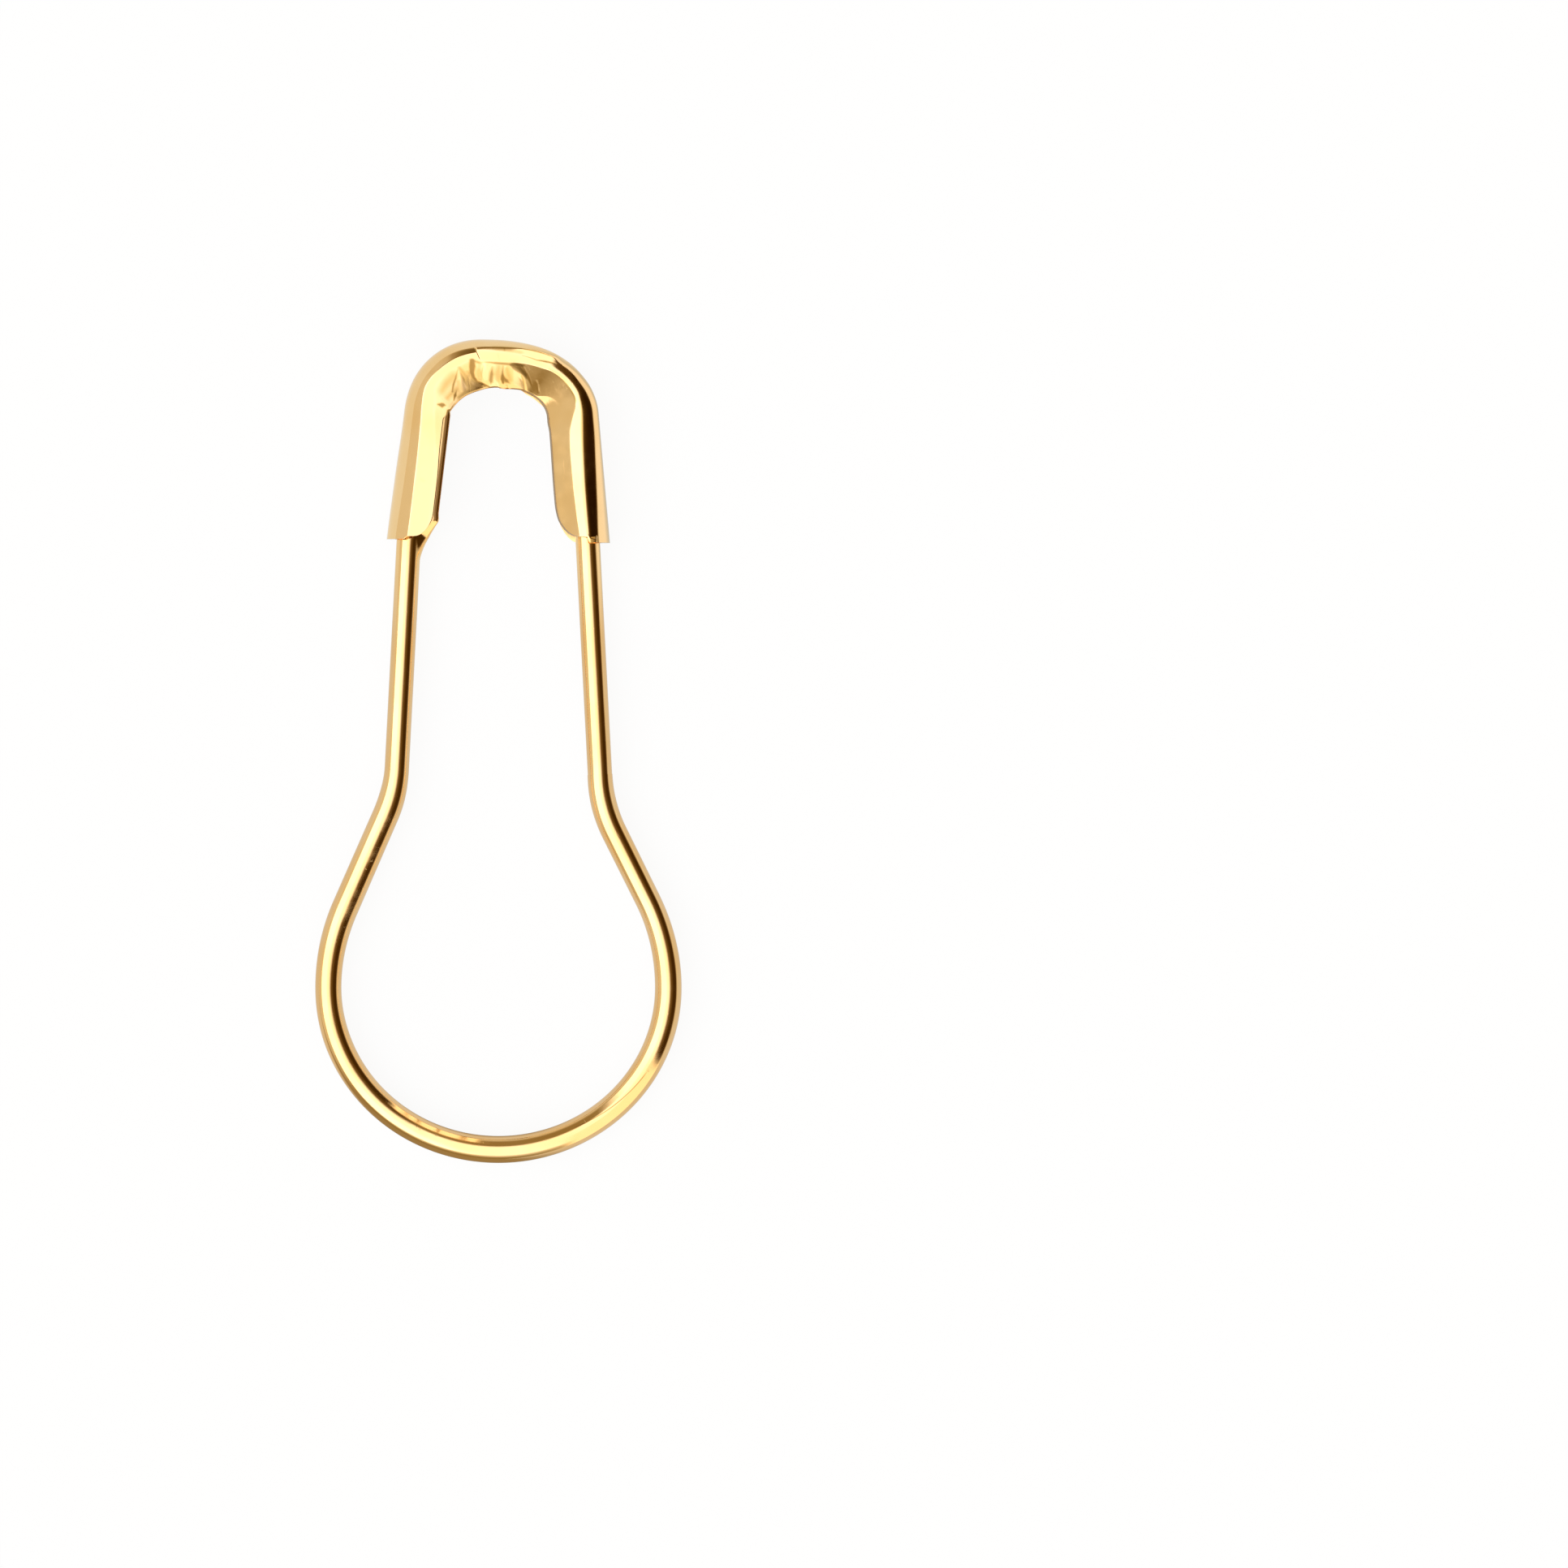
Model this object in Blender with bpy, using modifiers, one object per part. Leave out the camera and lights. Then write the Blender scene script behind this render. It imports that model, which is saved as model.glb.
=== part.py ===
# A bulb pin used as a stitch marker: one bent spring wire and one cap folded from sheet.
# It lies flat: +X is to the right, +Y runs from the bulb to the cap and +Z up through the thickness.
# The origin is under the middle of its box, on the surface that it lies on. Lengths are in metres.

import math

import bmesh
import bpy
from mathutils import Matrix, Vector

# Sizes of the whole pin
overall_length = 0.0220
wire_diameter = 0.00068
sheet_thickness = 0.00022
running_clearance = 0.00003
end_gap = 0.00002
merge_distance = 0.000001

# Bulb: a half ellipse below its widest line, a shoulder arc above it on each side, then a straight run
bulb_width = 0.00976
bulb_lower_height = 0.00466
bulb_shoulder_radius = 0.0053
left_neck_lean = math.radians(23.6)
right_neck_lean = math.radians(26.4)

# Necks, where the runs turn up into the two arms
neck_bend_radius = 0.0037
arm_lean = math.radians(3.0)
seat_bend_radius = 0.0060

# Cap: two leaning legs and an arch, all one folded sheet
cap_height = 0.00546
cap_bottom_width = 0.00596
cap_thickness = 0.00147
left_leg_short = 0.00010
left_leg_lean = math.radians(6.8)
right_leg_lean = math.radians(5.0)
arch_height = 0.00201
arch_shift = -0.00033
arch_squareness = 2.37

# Notch between the legs, open downwards
notch_width = 0.00258
notch_arch_height = 0.00097
web_height = 0.00127
notch_squareness = 1.85
front_setback = 0.00010
crown_setback = 0.00016

# Fold round the cap's outer side, and the faces of the sheet beside it
leg_rim_width = 0.00058
crown_rim_width = 0.00027
back_rim_width = 0.00027
rim_tilt = math.radians(35.0)
lip_start = 0.00088
lip_tilt = math.radians(31.0)
web_border = 0.00034
web_drop = 0.00020
pleat_depth = 0.00005
pleat_count = 5
left_corner_width = 0.00044
left_corner_height = 0.00070
right_corner_width = 0.00056
right_corner_height = 0.00105

# Fixed end of the wire, swaged into a flat paddle between the left leg's two faces
paddle_thickness = 0.00042
paddle_top_below_cap = 0.00180
paddle_edge_inset = 0.00004
paddle_neck_length = 0.00095
paddle_neck_below_cap = 0.00060
paddle_end_round = 0.00025

# Moving arm
neck_straight = 0.00010
root_length = 0.00050
cup_wall = 0.00005
point_below_cap = 0.00250
point_taper_length = 0.0031
point_radius = 0.00004

# Finish
gold_colour = (1.0, 0.66, 0.29, 1.0)
cap_roughness = 0.08
wire_roughness = 0.06

# Mesh steps, and the shares of the way from a leg to the crown at which the fold's features change
bend_step = math.radians(4.0)
wire_side_resolution = 6
turned_steps = 16
arch_stations = 44
leg_stations = 14
leg_crowding = 1.3
fold_steps = 4
run_steps = 4
paddle_stations = 26
ball_steps = 6
taper_steps = 5
rim_full_share = 0.85
lip_fade_share = 0.5
web_full_share = 0.4
flange_shares = (0.10, 0.22, 0.36, 0.50, 0.64, 0.80, 1.0)
back_shares = (1.0, 0.5, 0.0)

wire_radius = wire_diameter / 2
wire_height = sheet_thickness + running_clearance + wire_radius
cap_top_y = overall_length / 2
cap_bottom_y = cap_top_y - cap_height
arch_base_y = cap_top_y - arch_height
notch_base_y = cap_top_y - web_height - notch_arch_height
half_bottom = cap_bottom_width / 2
wire_inset = sheet_thickness + running_clearance + wire_radius


def clear_scene():
    """Empty the file of objects."""
    for old in list(bpy.data.objects):
        bpy.data.objects.remove(old, do_unlink=True)


def new_collection(name):
    """A collection linked to the scene."""
    collection = bpy.data.collections.new(name)
    bpy.context.scene.collection.children.link(collection)
    return collection


def gold_material(name, roughness):
    """Polished gold plate."""
    material = bpy.data.materials.new(name)
    material.use_nodes = True
    shader = material.node_tree.nodes["Principled BSDF"]
    shader.inputs["Base Color"].default_value = gold_colour
    shader.inputs["Metallic"].default_value = 1.0
    shader.inputs["Roughness"].default_value = roughness
    return material


def smooth_step(value):
    """0 below 0, 1 above 1, and an eased rise between."""
    value = min(max(value, 0.0), 1.0)
    return value * value * (3 - 2 * value)


def mix(first, second, share):
    """The value a share of the way from first to second."""
    return first + (second - first) * share


def meeting_point(point_a, direction_a, point_b, direction_b):
    """Where two lines in the plane cross."""
    cross = direction_a.x * direction_b.y - direction_a.y * direction_b.x
    offset = point_b - point_a
    return point_a + direction_a * ((offset.x * direction_b.y - offset.y * direction_b.x) / cross)


def bend(before, corner, after, radius):
    """Points of the arc that rounds a corner between two straight runs."""
    into = (before - corner).normalized()
    out = (after - corner).normalized()
    half_angle = math.acos(max(-1.0, min(1.0, into.dot(out)))) / 2
    turn = math.pi - 2 * half_angle
    start = corner + into * (radius / math.tan(half_angle))
    centre = corner + (into + out).normalized() * (radius / math.sin(half_angle))
    side = 1 if into.x * out.y - into.y * out.x < 0 else -1
    steps = max(2, math.ceil(turn / bend_step))
    arm = start - centre
    return [centre + Matrix.Rotation(side * turn * k / steps, 2) @ arm for k in range(steps + 1)]


def straight(start, end, steps):
    """Points strictly between two ends."""
    return [start.lerp(end, k / steps) for k in range(1, steps)]


def neck_lean(side):
    """Lean of the run out of the bulb; side is 1 on the right and -1 on the left, here and below."""
    return right_neck_lean if side > 0 else left_neck_lean


def leg_slope(side):
    """How far a leg of the cap leans in for each unit of height."""
    return math.tan(right_leg_lean if side > 0 else left_leg_lean)


def leg_bottom_y(side):
    """Where a leg of the cap ends."""
    return cap_bottom_y + (left_leg_short if side < 0 else 0.0)


def arm_direction(side):
    """Up along an arm, which leans in towards the cap."""
    return Vector((-side * math.sin(arm_lean), math.cos(arm_lean)))


def arm_mouth(side):
    """Where an arm's centre line enters the cap, seated against the fold."""
    return Vector((side * (half_bottom - wire_inset), leg_bottom_y(side)))


def bulb_half(side):
    """Centre line from the bulb's lowest point round to the end of its shoulder, on one side."""
    centre_y = -overall_length / 2 + bulb_lower_height
    wide = bulb_width / 2 - wire_radius
    low = bulb_lower_height - wire_radius
    quarter_steps = math.ceil(math.pi / 2 / bend_step)
    points = []
    for k in range(quarter_steps + 1):
        angle = math.pi / 2 * (k / quarter_steps - 1)
        points.append(Vector((side * wide * math.cos(angle), centre_y + low * math.sin(angle))))
    shoulder_steps = math.ceil(neck_lean(side) / bend_step)
    for k in range(1, shoulder_steps + 1):
        angle = neck_lean(side) * k / shoulder_steps
        across = wide - bulb_shoulder_radius * (1 - math.cos(angle))
        points.append(Vector((side * across, centre_y + bulb_shoulder_radius * math.sin(angle))))
    return points


def neck_corner(side):
    """Where the straight run out of the bulb and the arm's centre line would meet."""
    run = Vector((-side * math.sin(neck_lean(side)), math.cos(neck_lean(side))))
    return meeting_point(bulb_half(side)[-1], run, arm_mouth(side), arm_direction(side))


def neck_points(side):
    """Centre line from the bulb's shoulder through the neck's bend."""
    shoulder_end = bulb_half(side)[-1]
    arc = bend(shoulder_end, neck_corner(side), arm_mouth(side), neck_bend_radius)
    return straight(shoulder_end, arc[0], run_steps) + arc


def wire_line():
    """Centre line of the fixed wire, from the paddle's end down, round the bulb and up to the right neck."""
    neck = neck_points(-1)
    mouth = arm_mouth(-1)
    paddle_top_y = cap_top_y - paddle_top_below_cap
    rise = paddle_top_y - mouth.y
    paddle_top = Vector((mouth.x + rise * leg_slope(-1), paddle_top_y))
    seat = bend(neck[-1], mouth, paddle_top, seat_bend_radius)
    left = bulb_half(-1) + neck + straight(neck[-1], seat[0], run_steps * 2) + seat
    left += straight(seat[-1], paddle_top, paddle_stations) + [paddle_top]
    right_neck = neck_points(1)
    wire_end = right_neck[-1] + arm_direction(1) * neck_straight
    return list(reversed(left)) + bulb_half(1)[1:] + right_neck + [wire_end]


def wire_mesh(points):
    """A round wire along the points, as a welded mesh."""
    curve = bpy.data.curves.new("wire_path", "CURVE")
    curve.dimensions = "3D"
    curve.bevel_depth = wire_radius
    curve.bevel_resolution = wire_side_resolution
    curve.use_fill_caps = True
    spline = curve.splines.new("POLY")
    spline.points.add(len(points) - 1)
    for spot, point in zip(spline.points, points):
        spot.co = (point.x, point.y, wire_height, 1.0)
    guide = bpy.data.objects.new("wire_path", curve)
    bpy.context.scene.collection.objects.link(guide)
    evaluated = guide.evaluated_get(bpy.context.evaluated_depsgraph_get())
    mesh = bpy.data.meshes.new_from_object(evaluated)
    mesh.transform(guide.matrix_world)
    bpy.data.objects.remove(guide, do_unlink=True)
    return mesh


def left_inner_edge(y):
    """X of the left leg's back face edge at a height."""
    return -notch_width / 2 - (notch_base_y - y) * leg_slope(-1)


def swage(mesh):
    """Flatten the wire's fixed end into the paddle: thinner, and wider towards the notch."""
    body = bmesh.new()
    body.from_mesh(mesh)
    bmesh.ops.remove_doubles(body, verts=body.verts, dist=merge_distance)
    mouth = arm_mouth(-1)
    start_y = mouth.y - paddle_neck_below_cap
    top_y = cap_top_y - paddle_top_below_cap
    for vert in body.verts:
        if vert.co.x > 0 or vert.co.y < start_y:
            continue
        share = smooth_step((vert.co.y - start_y) / paddle_neck_length)
        rise = max(vert.co.y - mouth.y, 0.0)
        fall = max(mouth.y - vert.co.y, 0.0)
        centre_x = mouth.x + rise * leg_slope(-1) - fall * math.tan(arm_lean)
        outer_x = centre_x - wire_radius
        full_width = left_inner_edge(vert.co.y) - paddle_edge_inset - outer_x
        below_end = max(top_y - vert.co.y, 0.0)
        end_share = min(below_end / paddle_end_round, 1.0)
        corner_cut = paddle_end_round * (1 - math.sqrt(max(0.0, end_share * (2 - end_share))))
        width = mix(wire_diameter, full_width, share) - corner_cut * share
        vert.co.x = outer_x + (vert.co.x - outer_x) * width / wire_diameter
        thickness = mix(wire_diameter, paddle_thickness, share)
        vert.co.z = wire_height + (vert.co.z - wire_height) * thickness / wire_diameter
    bmesh.ops.recalc_face_normals(body, faces=body.faces)
    body.to_mesh(mesh)
    body.free()


def finish_object(name, mesh, material, collection):
    """Link a mesh as a named object with its material and smooth shading."""
    piece = bpy.data.objects.new(name, mesh)
    mesh.materials.append(material)
    mesh.shade_smooth()
    mesh.set_sharp_from_angle(angle=rim_tilt)
    collection.objects.link(piece)
    return piece


def make_spring_wire(material, collection):
    """Paddle, fixed arm, bulb and the right neck, all one wire."""
    mesh = wire_mesh(wire_line())
    swage(mesh)
    return finish_object("spring_wire", mesh, material, collection)


def cap_outer(side, share):
    """Point of the cap's outer outline on an arch, share 0 at the arch's base and 1 at its crown."""
    angle = share * math.pi / 2
    rise = arch_height * math.sin(angle) ** (2 / arch_squareness)
    leg_height = arch_base_y - leg_bottom_y(side) + rise
    half = half_bottom - leg_height * leg_slope(side) - side * arch_shift
    across = half * max(math.cos(angle), 0.0) ** (2 / arch_squareness)
    return Vector((arch_shift + side * across, arch_base_y + rise))


def cap_inner(side, share):
    """Point of the notch's outline that faces the outer point of the same share."""
    angle = share * math.pi / 2
    rise = notch_arch_height * math.sin(angle) ** (2 / notch_squareness)
    across = notch_width / 2 * max(math.cos(angle), 0.0) ** (2 / notch_squareness)
    return Vector((side * across, notch_base_y + rise))


def corner_recess(side, height):
    """How far the rounded lower corner of a leg's face steps back at a height over the leg's end."""
    width = right_corner_width if side > 0 else left_corner_width
    tall = right_corner_height if side > 0 else left_corner_height
    if height >= tall:
        return 0.0
    share = 1 - height / tall
    return width * (1 - math.sqrt(max(0.0, 1 - share * share)))


def fold_profile(rim_width, wall_z, direction):
    """Section points of one half of the fold, from the wall's end out to the flat face."""
    points = []
    for k in range(fold_steps + 1):
        tilt = mix(math.pi / 2, rim_tilt, k / fold_steps)
        depth = rim_width * (1 - math.sin(tilt))
        points.append((depth, wall_z + direction * rim_width * math.cos(tilt)))
    points.append((rim_width, wall_z + direction * fold_rise(rim_width)))
    return points


def fold_rise(rim_width):
    """Height that one half of the fold takes up."""
    slope_run = rim_width * math.sin(rim_tilt) / math.cos(rim_tilt)
    return rim_width * math.cos(rim_tilt) + slope_run * math.sin(rim_tilt)


def front_drop(side, depth, rim_width, width, crown_share):
    """How far the front face lies below the cap's top at a depth from the outer side."""
    leg_share = 1 - smooth_step(crown_share / lip_fade_share)
    drop = 0.0
    if side > 0:
        drop += leg_share * math.tan(lip_tilt) * max(depth - lip_start, 0.0)
    web_share = smooth_step(crown_share / web_full_share)
    into_web = (depth - rim_width - web_border) / (width - rim_width - web_border)
    if into_web > 0:
        pleat = math.cos(side * (1 - crown_share) * math.pi * pleat_count)
        drop += web_share * smooth_step(into_web) * (web_drop + pleat_depth * pleat)
    return drop


def cap_section(side, outer, inner, crown_share, height):
    """Outer skin of the folded sheet at one station, from the back face's edge round to the front's."""
    across = inner - outer
    toward = across.normalized()
    recess = corner_recess(side, height)
    back_width = across.length - recess
    front_width = back_width - mix(front_setback, crown_setback, smooth_step(crown_share))
    rim_width = mix(leg_rim_width, crown_rim_width, smooth_step(crown_share / rim_full_share))
    back = fold_profile(back_rim_width, fold_rise(back_rim_width), -1)
    front = fold_profile(rim_width, cap_thickness - fold_rise(rim_width), 1)
    section = [(mix(back_rim_width, back_width, share), 0.0) for share in back_shares]
    section += list(reversed(back))[1:] + front
    for share in flange_shares:
        depth = mix(rim_width, front_width, share)
        drop = front_drop(side, depth, rim_width, across.length, crown_share)
        section.append((depth, cap_thickness - drop))
    return [(outer.x + toward.x * d, outer.y + toward.y * d, z) for d, z in section]


def cap_stations():
    """Sections from the left leg's end, over the arch, to the right leg's end."""
    sections = []
    for side in (-1, 1):
        bottom_y = leg_bottom_y(side)
        half = []
        for k in range(leg_stations):
            share = (k / leg_stations) ** leg_crowding
            outer_y = mix(bottom_y, arch_base_y, share)
            inner_y = mix(bottom_y, notch_base_y, share)
            outer = Vector((side * (half_bottom - (outer_y - bottom_y) * leg_slope(side)), outer_y))
            inner_x = notch_width / 2 + (notch_base_y - inner_y) * leg_slope(side)
            inner = Vector((side * inner_x, inner_y))
            half.append(cap_section(side, outer, inner, 0.0, inner_y - bottom_y))
        for k in range(arch_stations // 2 + 1):
            share = k / (arch_stations // 2)
            outer = cap_outer(side, share)
            inner = cap_inner(side, share)
            half.append(cap_section(side, outer, inner, share, inner.y - bottom_y))
        sections.append(half)
    left, right = sections
    return left[:-1] + list(reversed(right))


def make_cap(material, collection):
    """The folded sheet: its outer skin lofted from leg to leg, then given the sheet's thickness inwards."""
    body = bmesh.new()
    rows = [[body.verts.new(point) for point in section] for section in cap_stations()]
    for lower, upper in zip(rows, rows[1:]):
        for k in range(len(lower) - 1):
            body.faces.new((lower[k], lower[k + 1], upper[k + 1], upper[k]))
    bmesh.ops.recalc_face_normals(body, faces=body.faces)
    mesh = bpy.data.meshes.new("cap")
    body.to_mesh(mesh)
    body.free()
    cap = finish_object("cap", mesh, material, collection)
    wall = cap.modifiers.new("sheet", "SOLIDIFY")
    wall.thickness = sheet_thickness
    wall.offset = -1.0
    wall.use_even_offset = True
    return cap


def make_turned(name, profile, place, material, collection):
    """Turn a profile of radius and height pairs about the arm's line; place is a point on that line."""
    body = bmesh.new()
    verts = [body.verts.new((radius, 0.0, height)) for radius, height in profile]
    for first, second in zip(verts, verts[1:]):
        body.edges.new((first, second))
    mesh = bpy.data.meshes.new(name)
    body.to_mesh(mesh)
    body.free()
    piece = finish_object(name, mesh, material, collection)
    piece.location = (place.x, place.y, wire_height)
    piece.rotation_euler = (-math.pi / 2, 0.0, arm_lean)
    turned = piece.modifiers.new("turned", "SCREW")
    turned.axis = "Z"
    turned.steps = turned_steps
    turned.render_steps = turned_steps
    turned.use_merge_vertices = True
    turned.merge_threshold = merge_distance
    turned.use_smooth_shade = True
    return piece


def cup_radius():
    """Radius of the hollow that the arm's round foot turns in."""
    return wire_radius + running_clearance


def cup_drop():
    """Distance from the pivot down to the hollow's rim."""
    return math.sqrt(cup_radius() ** 2 - (wire_radius - cup_wall) ** 2)


def arm_pivot():
    """The point on the moving arm's line about which it swings."""
    foot = neck_points(1)[-1] + arm_direction(1) * (neck_straight + end_gap)
    return foot + arm_direction(1) * (root_length + cup_drop())


def make_arm_root(material, collection):
    """Short straight stretch of the wire above the right neck, hollowed at its top."""
    rim_angle = math.acos(cup_drop() / cup_radius())
    profile = [(0.0, -cup_radius())]
    for k in range(1, ball_steps + 1):
        angle = rim_angle * k / ball_steps
        profile.append((cup_radius() * math.sin(angle), -cup_radius() * math.cos(angle)))
    profile.append((wire_radius, -cup_drop()))
    profile.append((wire_radius, -cup_drop() - root_length))
    profile.append((0.0, -cup_drop() - root_length))
    return make_turned("arm_root", profile, arm_pivot(), material, collection)


def make_pin_arm(material, collection):
    """Moving arm: a round foot at the pivot, a straight shank and a tapered point inside the right leg."""
    tip_y = cap_top_y - point_below_cap
    length = (tip_y - arm_pivot().y) / math.cos(arm_lean)
    profile = [(0.0, length)]
    for k in range(1, ball_steps + 1):
        angle = math.pi / 2 * k / ball_steps
        profile.append((point_radius * math.sin(angle), length - point_radius * (1 - math.cos(angle))))
    for k in range(1, taper_steps + 1):
        share = k / taper_steps
        radius = mix(point_radius, wire_radius, math.sin(share * math.pi / 2))
        profile.append((radius, length - point_radius - point_taper_length * share))
    for k in range(ball_steps):
        angle = math.pi / 2 * k / ball_steps
        profile.append((wire_radius * math.cos(angle), -wire_radius * math.sin(angle)))
    profile.append((0.0, -wire_radius))
    return make_turned("pin_arm", profile, arm_pivot(), material, collection)


def report_places():
    """Print the places that the joints, mounts and openings are measured from."""
    pivot = arm_pivot()
    along = arm_direction(1)
    print("pivot", tuple(round(value, 7) for value in (pivot.x, pivot.y, wire_height)))
    print("arm direction", tuple(round(value, 7) for value in (along.x, along.y, 0.0)))
    print("neck corner", tuple(round(value, 7) for value in neck_corner(1)))


def build_pin():
    """Make every piece."""
    clear_scene()
    collection = new_collection("bulb_pin_stitch_marker")
    cap_gold = gold_material("cap_gold", cap_roughness)
    wire_gold = gold_material("wire_gold", wire_roughness)
    make_cap(cap_gold, collection)
    make_spring_wire(wire_gold, collection)
    make_arm_root(wire_gold, collection)
    make_pin_arm(wire_gold, collection)
    report_places()


build_pin()
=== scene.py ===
import math

import bmesh
import bpy
from mathutils import Matrix, Vector


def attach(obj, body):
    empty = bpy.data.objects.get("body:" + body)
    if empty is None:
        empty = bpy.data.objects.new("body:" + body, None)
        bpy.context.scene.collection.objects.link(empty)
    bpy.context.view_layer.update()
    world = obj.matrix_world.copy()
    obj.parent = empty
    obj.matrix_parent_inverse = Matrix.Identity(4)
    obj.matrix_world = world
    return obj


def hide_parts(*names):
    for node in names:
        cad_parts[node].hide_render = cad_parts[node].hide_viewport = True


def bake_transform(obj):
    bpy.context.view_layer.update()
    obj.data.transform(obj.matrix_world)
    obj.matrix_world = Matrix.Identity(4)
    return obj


# Stitch marker: a gold bulb pin, one bent spring wire and one folded cap, lying on a pale table.
# +X is to the right, +Y runs from the bulb to the cap and +Z up. Lengths are in metres.

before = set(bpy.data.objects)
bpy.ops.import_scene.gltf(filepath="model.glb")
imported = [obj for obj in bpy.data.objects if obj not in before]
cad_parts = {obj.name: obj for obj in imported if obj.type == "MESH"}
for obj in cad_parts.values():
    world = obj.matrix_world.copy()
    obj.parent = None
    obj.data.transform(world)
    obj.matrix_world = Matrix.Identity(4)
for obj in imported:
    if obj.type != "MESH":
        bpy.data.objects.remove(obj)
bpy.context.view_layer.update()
mm = 0.001

pin = {
    "length": 22.0 * mm,
    "wire": 0.68 * mm,
    "sheet": 0.22 * mm,
    "clearance": 0.03 * mm,
    "bulbWidth": 9.76 * mm,
    "bulbLower": 4.66 * mm,
    "shoulderRadius": 5.3 * mm,
    "leftNeckLean": math.radians(23.6),
    "rightNeckLean": math.radians(26.4),
    "neckBend": 3.7 * mm,
    "armLean": math.radians(3.0),
    "seatBend": 6.0 * mm,
    "capHeight": 5.46 * mm,
    "capBottomWidth": 5.96 * mm,
    "capThickness": 1.47 * mm,
    "leftLegShort": 0.10 * mm,
    "leftLegLean": math.radians(6.8),
    "rightLegLean": math.radians(5.0),
    "tinyJoin": 0.001 * mm,
}
wireRadius = pin["wire"] / 2
wireHeight = pin["sheet"] + pin["clearance"] + wireRadius
capTop = pin["length"] / 2
capBottom = capTop - pin["capHeight"]
halfBottom = pin["capBottomWidth"] / 2
wireInset = pin["sheet"] + pin["clearance"] + wireRadius


def clamp(value):
    return min(max(value, 0.0), 1.0)


def easeStep(value):
    value = clamp(value)
    return value * value * (3 - 2 * value)


def fade(value, middle, soft):
    # from 0 to 1 over a soft stretch round a middle value
    return easeStep((value - middle) / soft + 0.5)


def mix(first, second, share):
    return first + (second - first) * share


def addObject(name, data):
    thing = bpy.data.objects.new(name, data)
    bpy.context.scene.collection.objects.link(thing)
    return thing


# Nodes, for the materials and the wire

def feed(tree, socket, value):
    # another node's output is linked to the socket, and anything else is set on it
    if isinstance(value, bpy.types.NodeSocket):
        tree.links.new(value, socket)
    else:
        socket.default_value = (*value, 1.0) if socket.type == "RGBA" else value


def addNode(tree, kind, inputs=(), **settings):
    # a new node with its settings, and its inputs fed by name or in their order
    node = tree.nodes.new(kind)
    for name, value in settings.items():
        setattr(node, name, value)
    for name, value in inputs.items() if isinstance(inputs, dict) else enumerate(inputs):
        feed(tree, node.inputs[name], value)
    return node


def calc(tree, operation, *values):
    return addNode(tree, "ShaderNodeMath", values, operation=operation).outputs[0]


def remap(tree, value, fromLow, fromHigh, toLow=0.0, toHigh=1.0, kind="SMOOTHSTEP"):
    inputs = (value, fromLow, fromHigh, toLow, toHigh)
    return addNode(tree, "ShaderNodeMapRange", inputs, interpolation_type=kind).outputs[0]


def window(tree, value, low, high, softLow, softHigh):
    # 1 between two limits and 0 outside them, with soft ends
    rise = remap(tree, value, low - softLow, low + softLow)
    fall = remap(tree, value, high - softHigh, high + softHigh, 1.0, 0.0)
    return calc(tree, "MULTIPLY", rise, fall)


def noise(tree, vector, scale, detail, roughness):
    inputs = {"Vector": vector, "Scale": scale, "Detail": detail, "Roughness": roughness}
    return addNode(tree, "ShaderNodeTexNoise", inputs).outputs["Fac"]


def stretch(tree, vector, scale, place=(0, 0, 0)):
    inputs = {"Vector": vector, "Scale": scale, "Location": place}
    return addNode(tree, "ShaderNodeMapping", inputs).outputs["Vector"]


def layColours(tree, colour, *layers):
    # each layer, a share and a colour, covers what is there by its share
    for share, above in layers:
        inputs = {"Factor": share, 6: colour, 7: above}
        colour = addNode(tree, "ShaderNodeMix", inputs, data_type="RGBA").outputs[2]
    return colour


def addShares(tree, total, *parts):
    for value, share in parts:
        total = calc(tree, "MULTIPLY_ADD", value, share, total)
    return total


def axes(tree, vector):
    return addNode(tree, "ShaderNodeSeparateXYZ", (vector,)).outputs


goldLook = {
    "bright": (1.0, 0.680, 0.335),
    "deep": (0.985, 0.635, 0.275),
    "wornEdge": (1.0, 0.735, 0.43),
    "halfShadeGold": (0.72, 0.455, 0.16),  # half of the painted shade
    "fullShadeGold": (0.27, 0.142, 0.033),  # full painted shade
    # colour of the raw cut edge, darkened partly by painted shade
    "rawEdgeAndShade": (0.36, 0.26, 0.17),
    # scale, detail and roughness of each noise
    "tone": (420.0, 3.0, 0.5),       # patches of a few millimetres
    "lines": (15000.0, 2.0, 0.6),    # drawn lines a few hundredths of a millimetre apart
    "dents": (900.0, 1.0, 0.5),
    "peel": (2600.0, 3.0, 0.55),
    "scratches": (5200.0, 4.0, 0.7),
    "lineStretch": 0.012,
    "scratchStretch": (1.0, 0.08, 1.0),
    "scratchPlace": (0.7, 0.1, 0.3),
    # the range of each noise over which its effect rises from none to full
    "toneRange": (0.38, 0.62),
    "scratchRange": (0.62, 0.70),
    "glossRange": (0.35, 0.68),
    "wearRange": (0.38, 0.62, 0.25),     # and the least that is left of the wear
    "shadeRange": (0.35, 0.65, 0.88),    # and the least that is left of the painted shade
    # roughness, and what lines, scratches, wear, painted shade and raw cut edges add to it
    "wireRoughness": (0.050, 0.105),
    "sheetRoughness": (0.055, 0.14),
    "lineShare": 0.5,
    "scratchShare": 0.9,
    "wearRoughness": 0.05,
    "shadeRoughness": 0.03,
    "rawRoughness": 0.20,
    # relief
    "lineHeight": 0.00030 * mm,
    "dentHeight": 0.0034 * mm,
    "peelHeight": 0.0008 * mm,
    "scratchHeight": -0.0006 * mm,
}
darkWireLine = {
    # a fine dark line painted along a stretch of the wire: how far along, and degrees from its top
    "start": (24.95 * mm, -20.0),
    "end": (27.60 * mm, 14.0),
    "softEnd": 0.15 * mm,
    "coreWidth": 1.04,
    "width": 2.6,
    "colour": (0.50, 0.28, 0.085),
}


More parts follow.
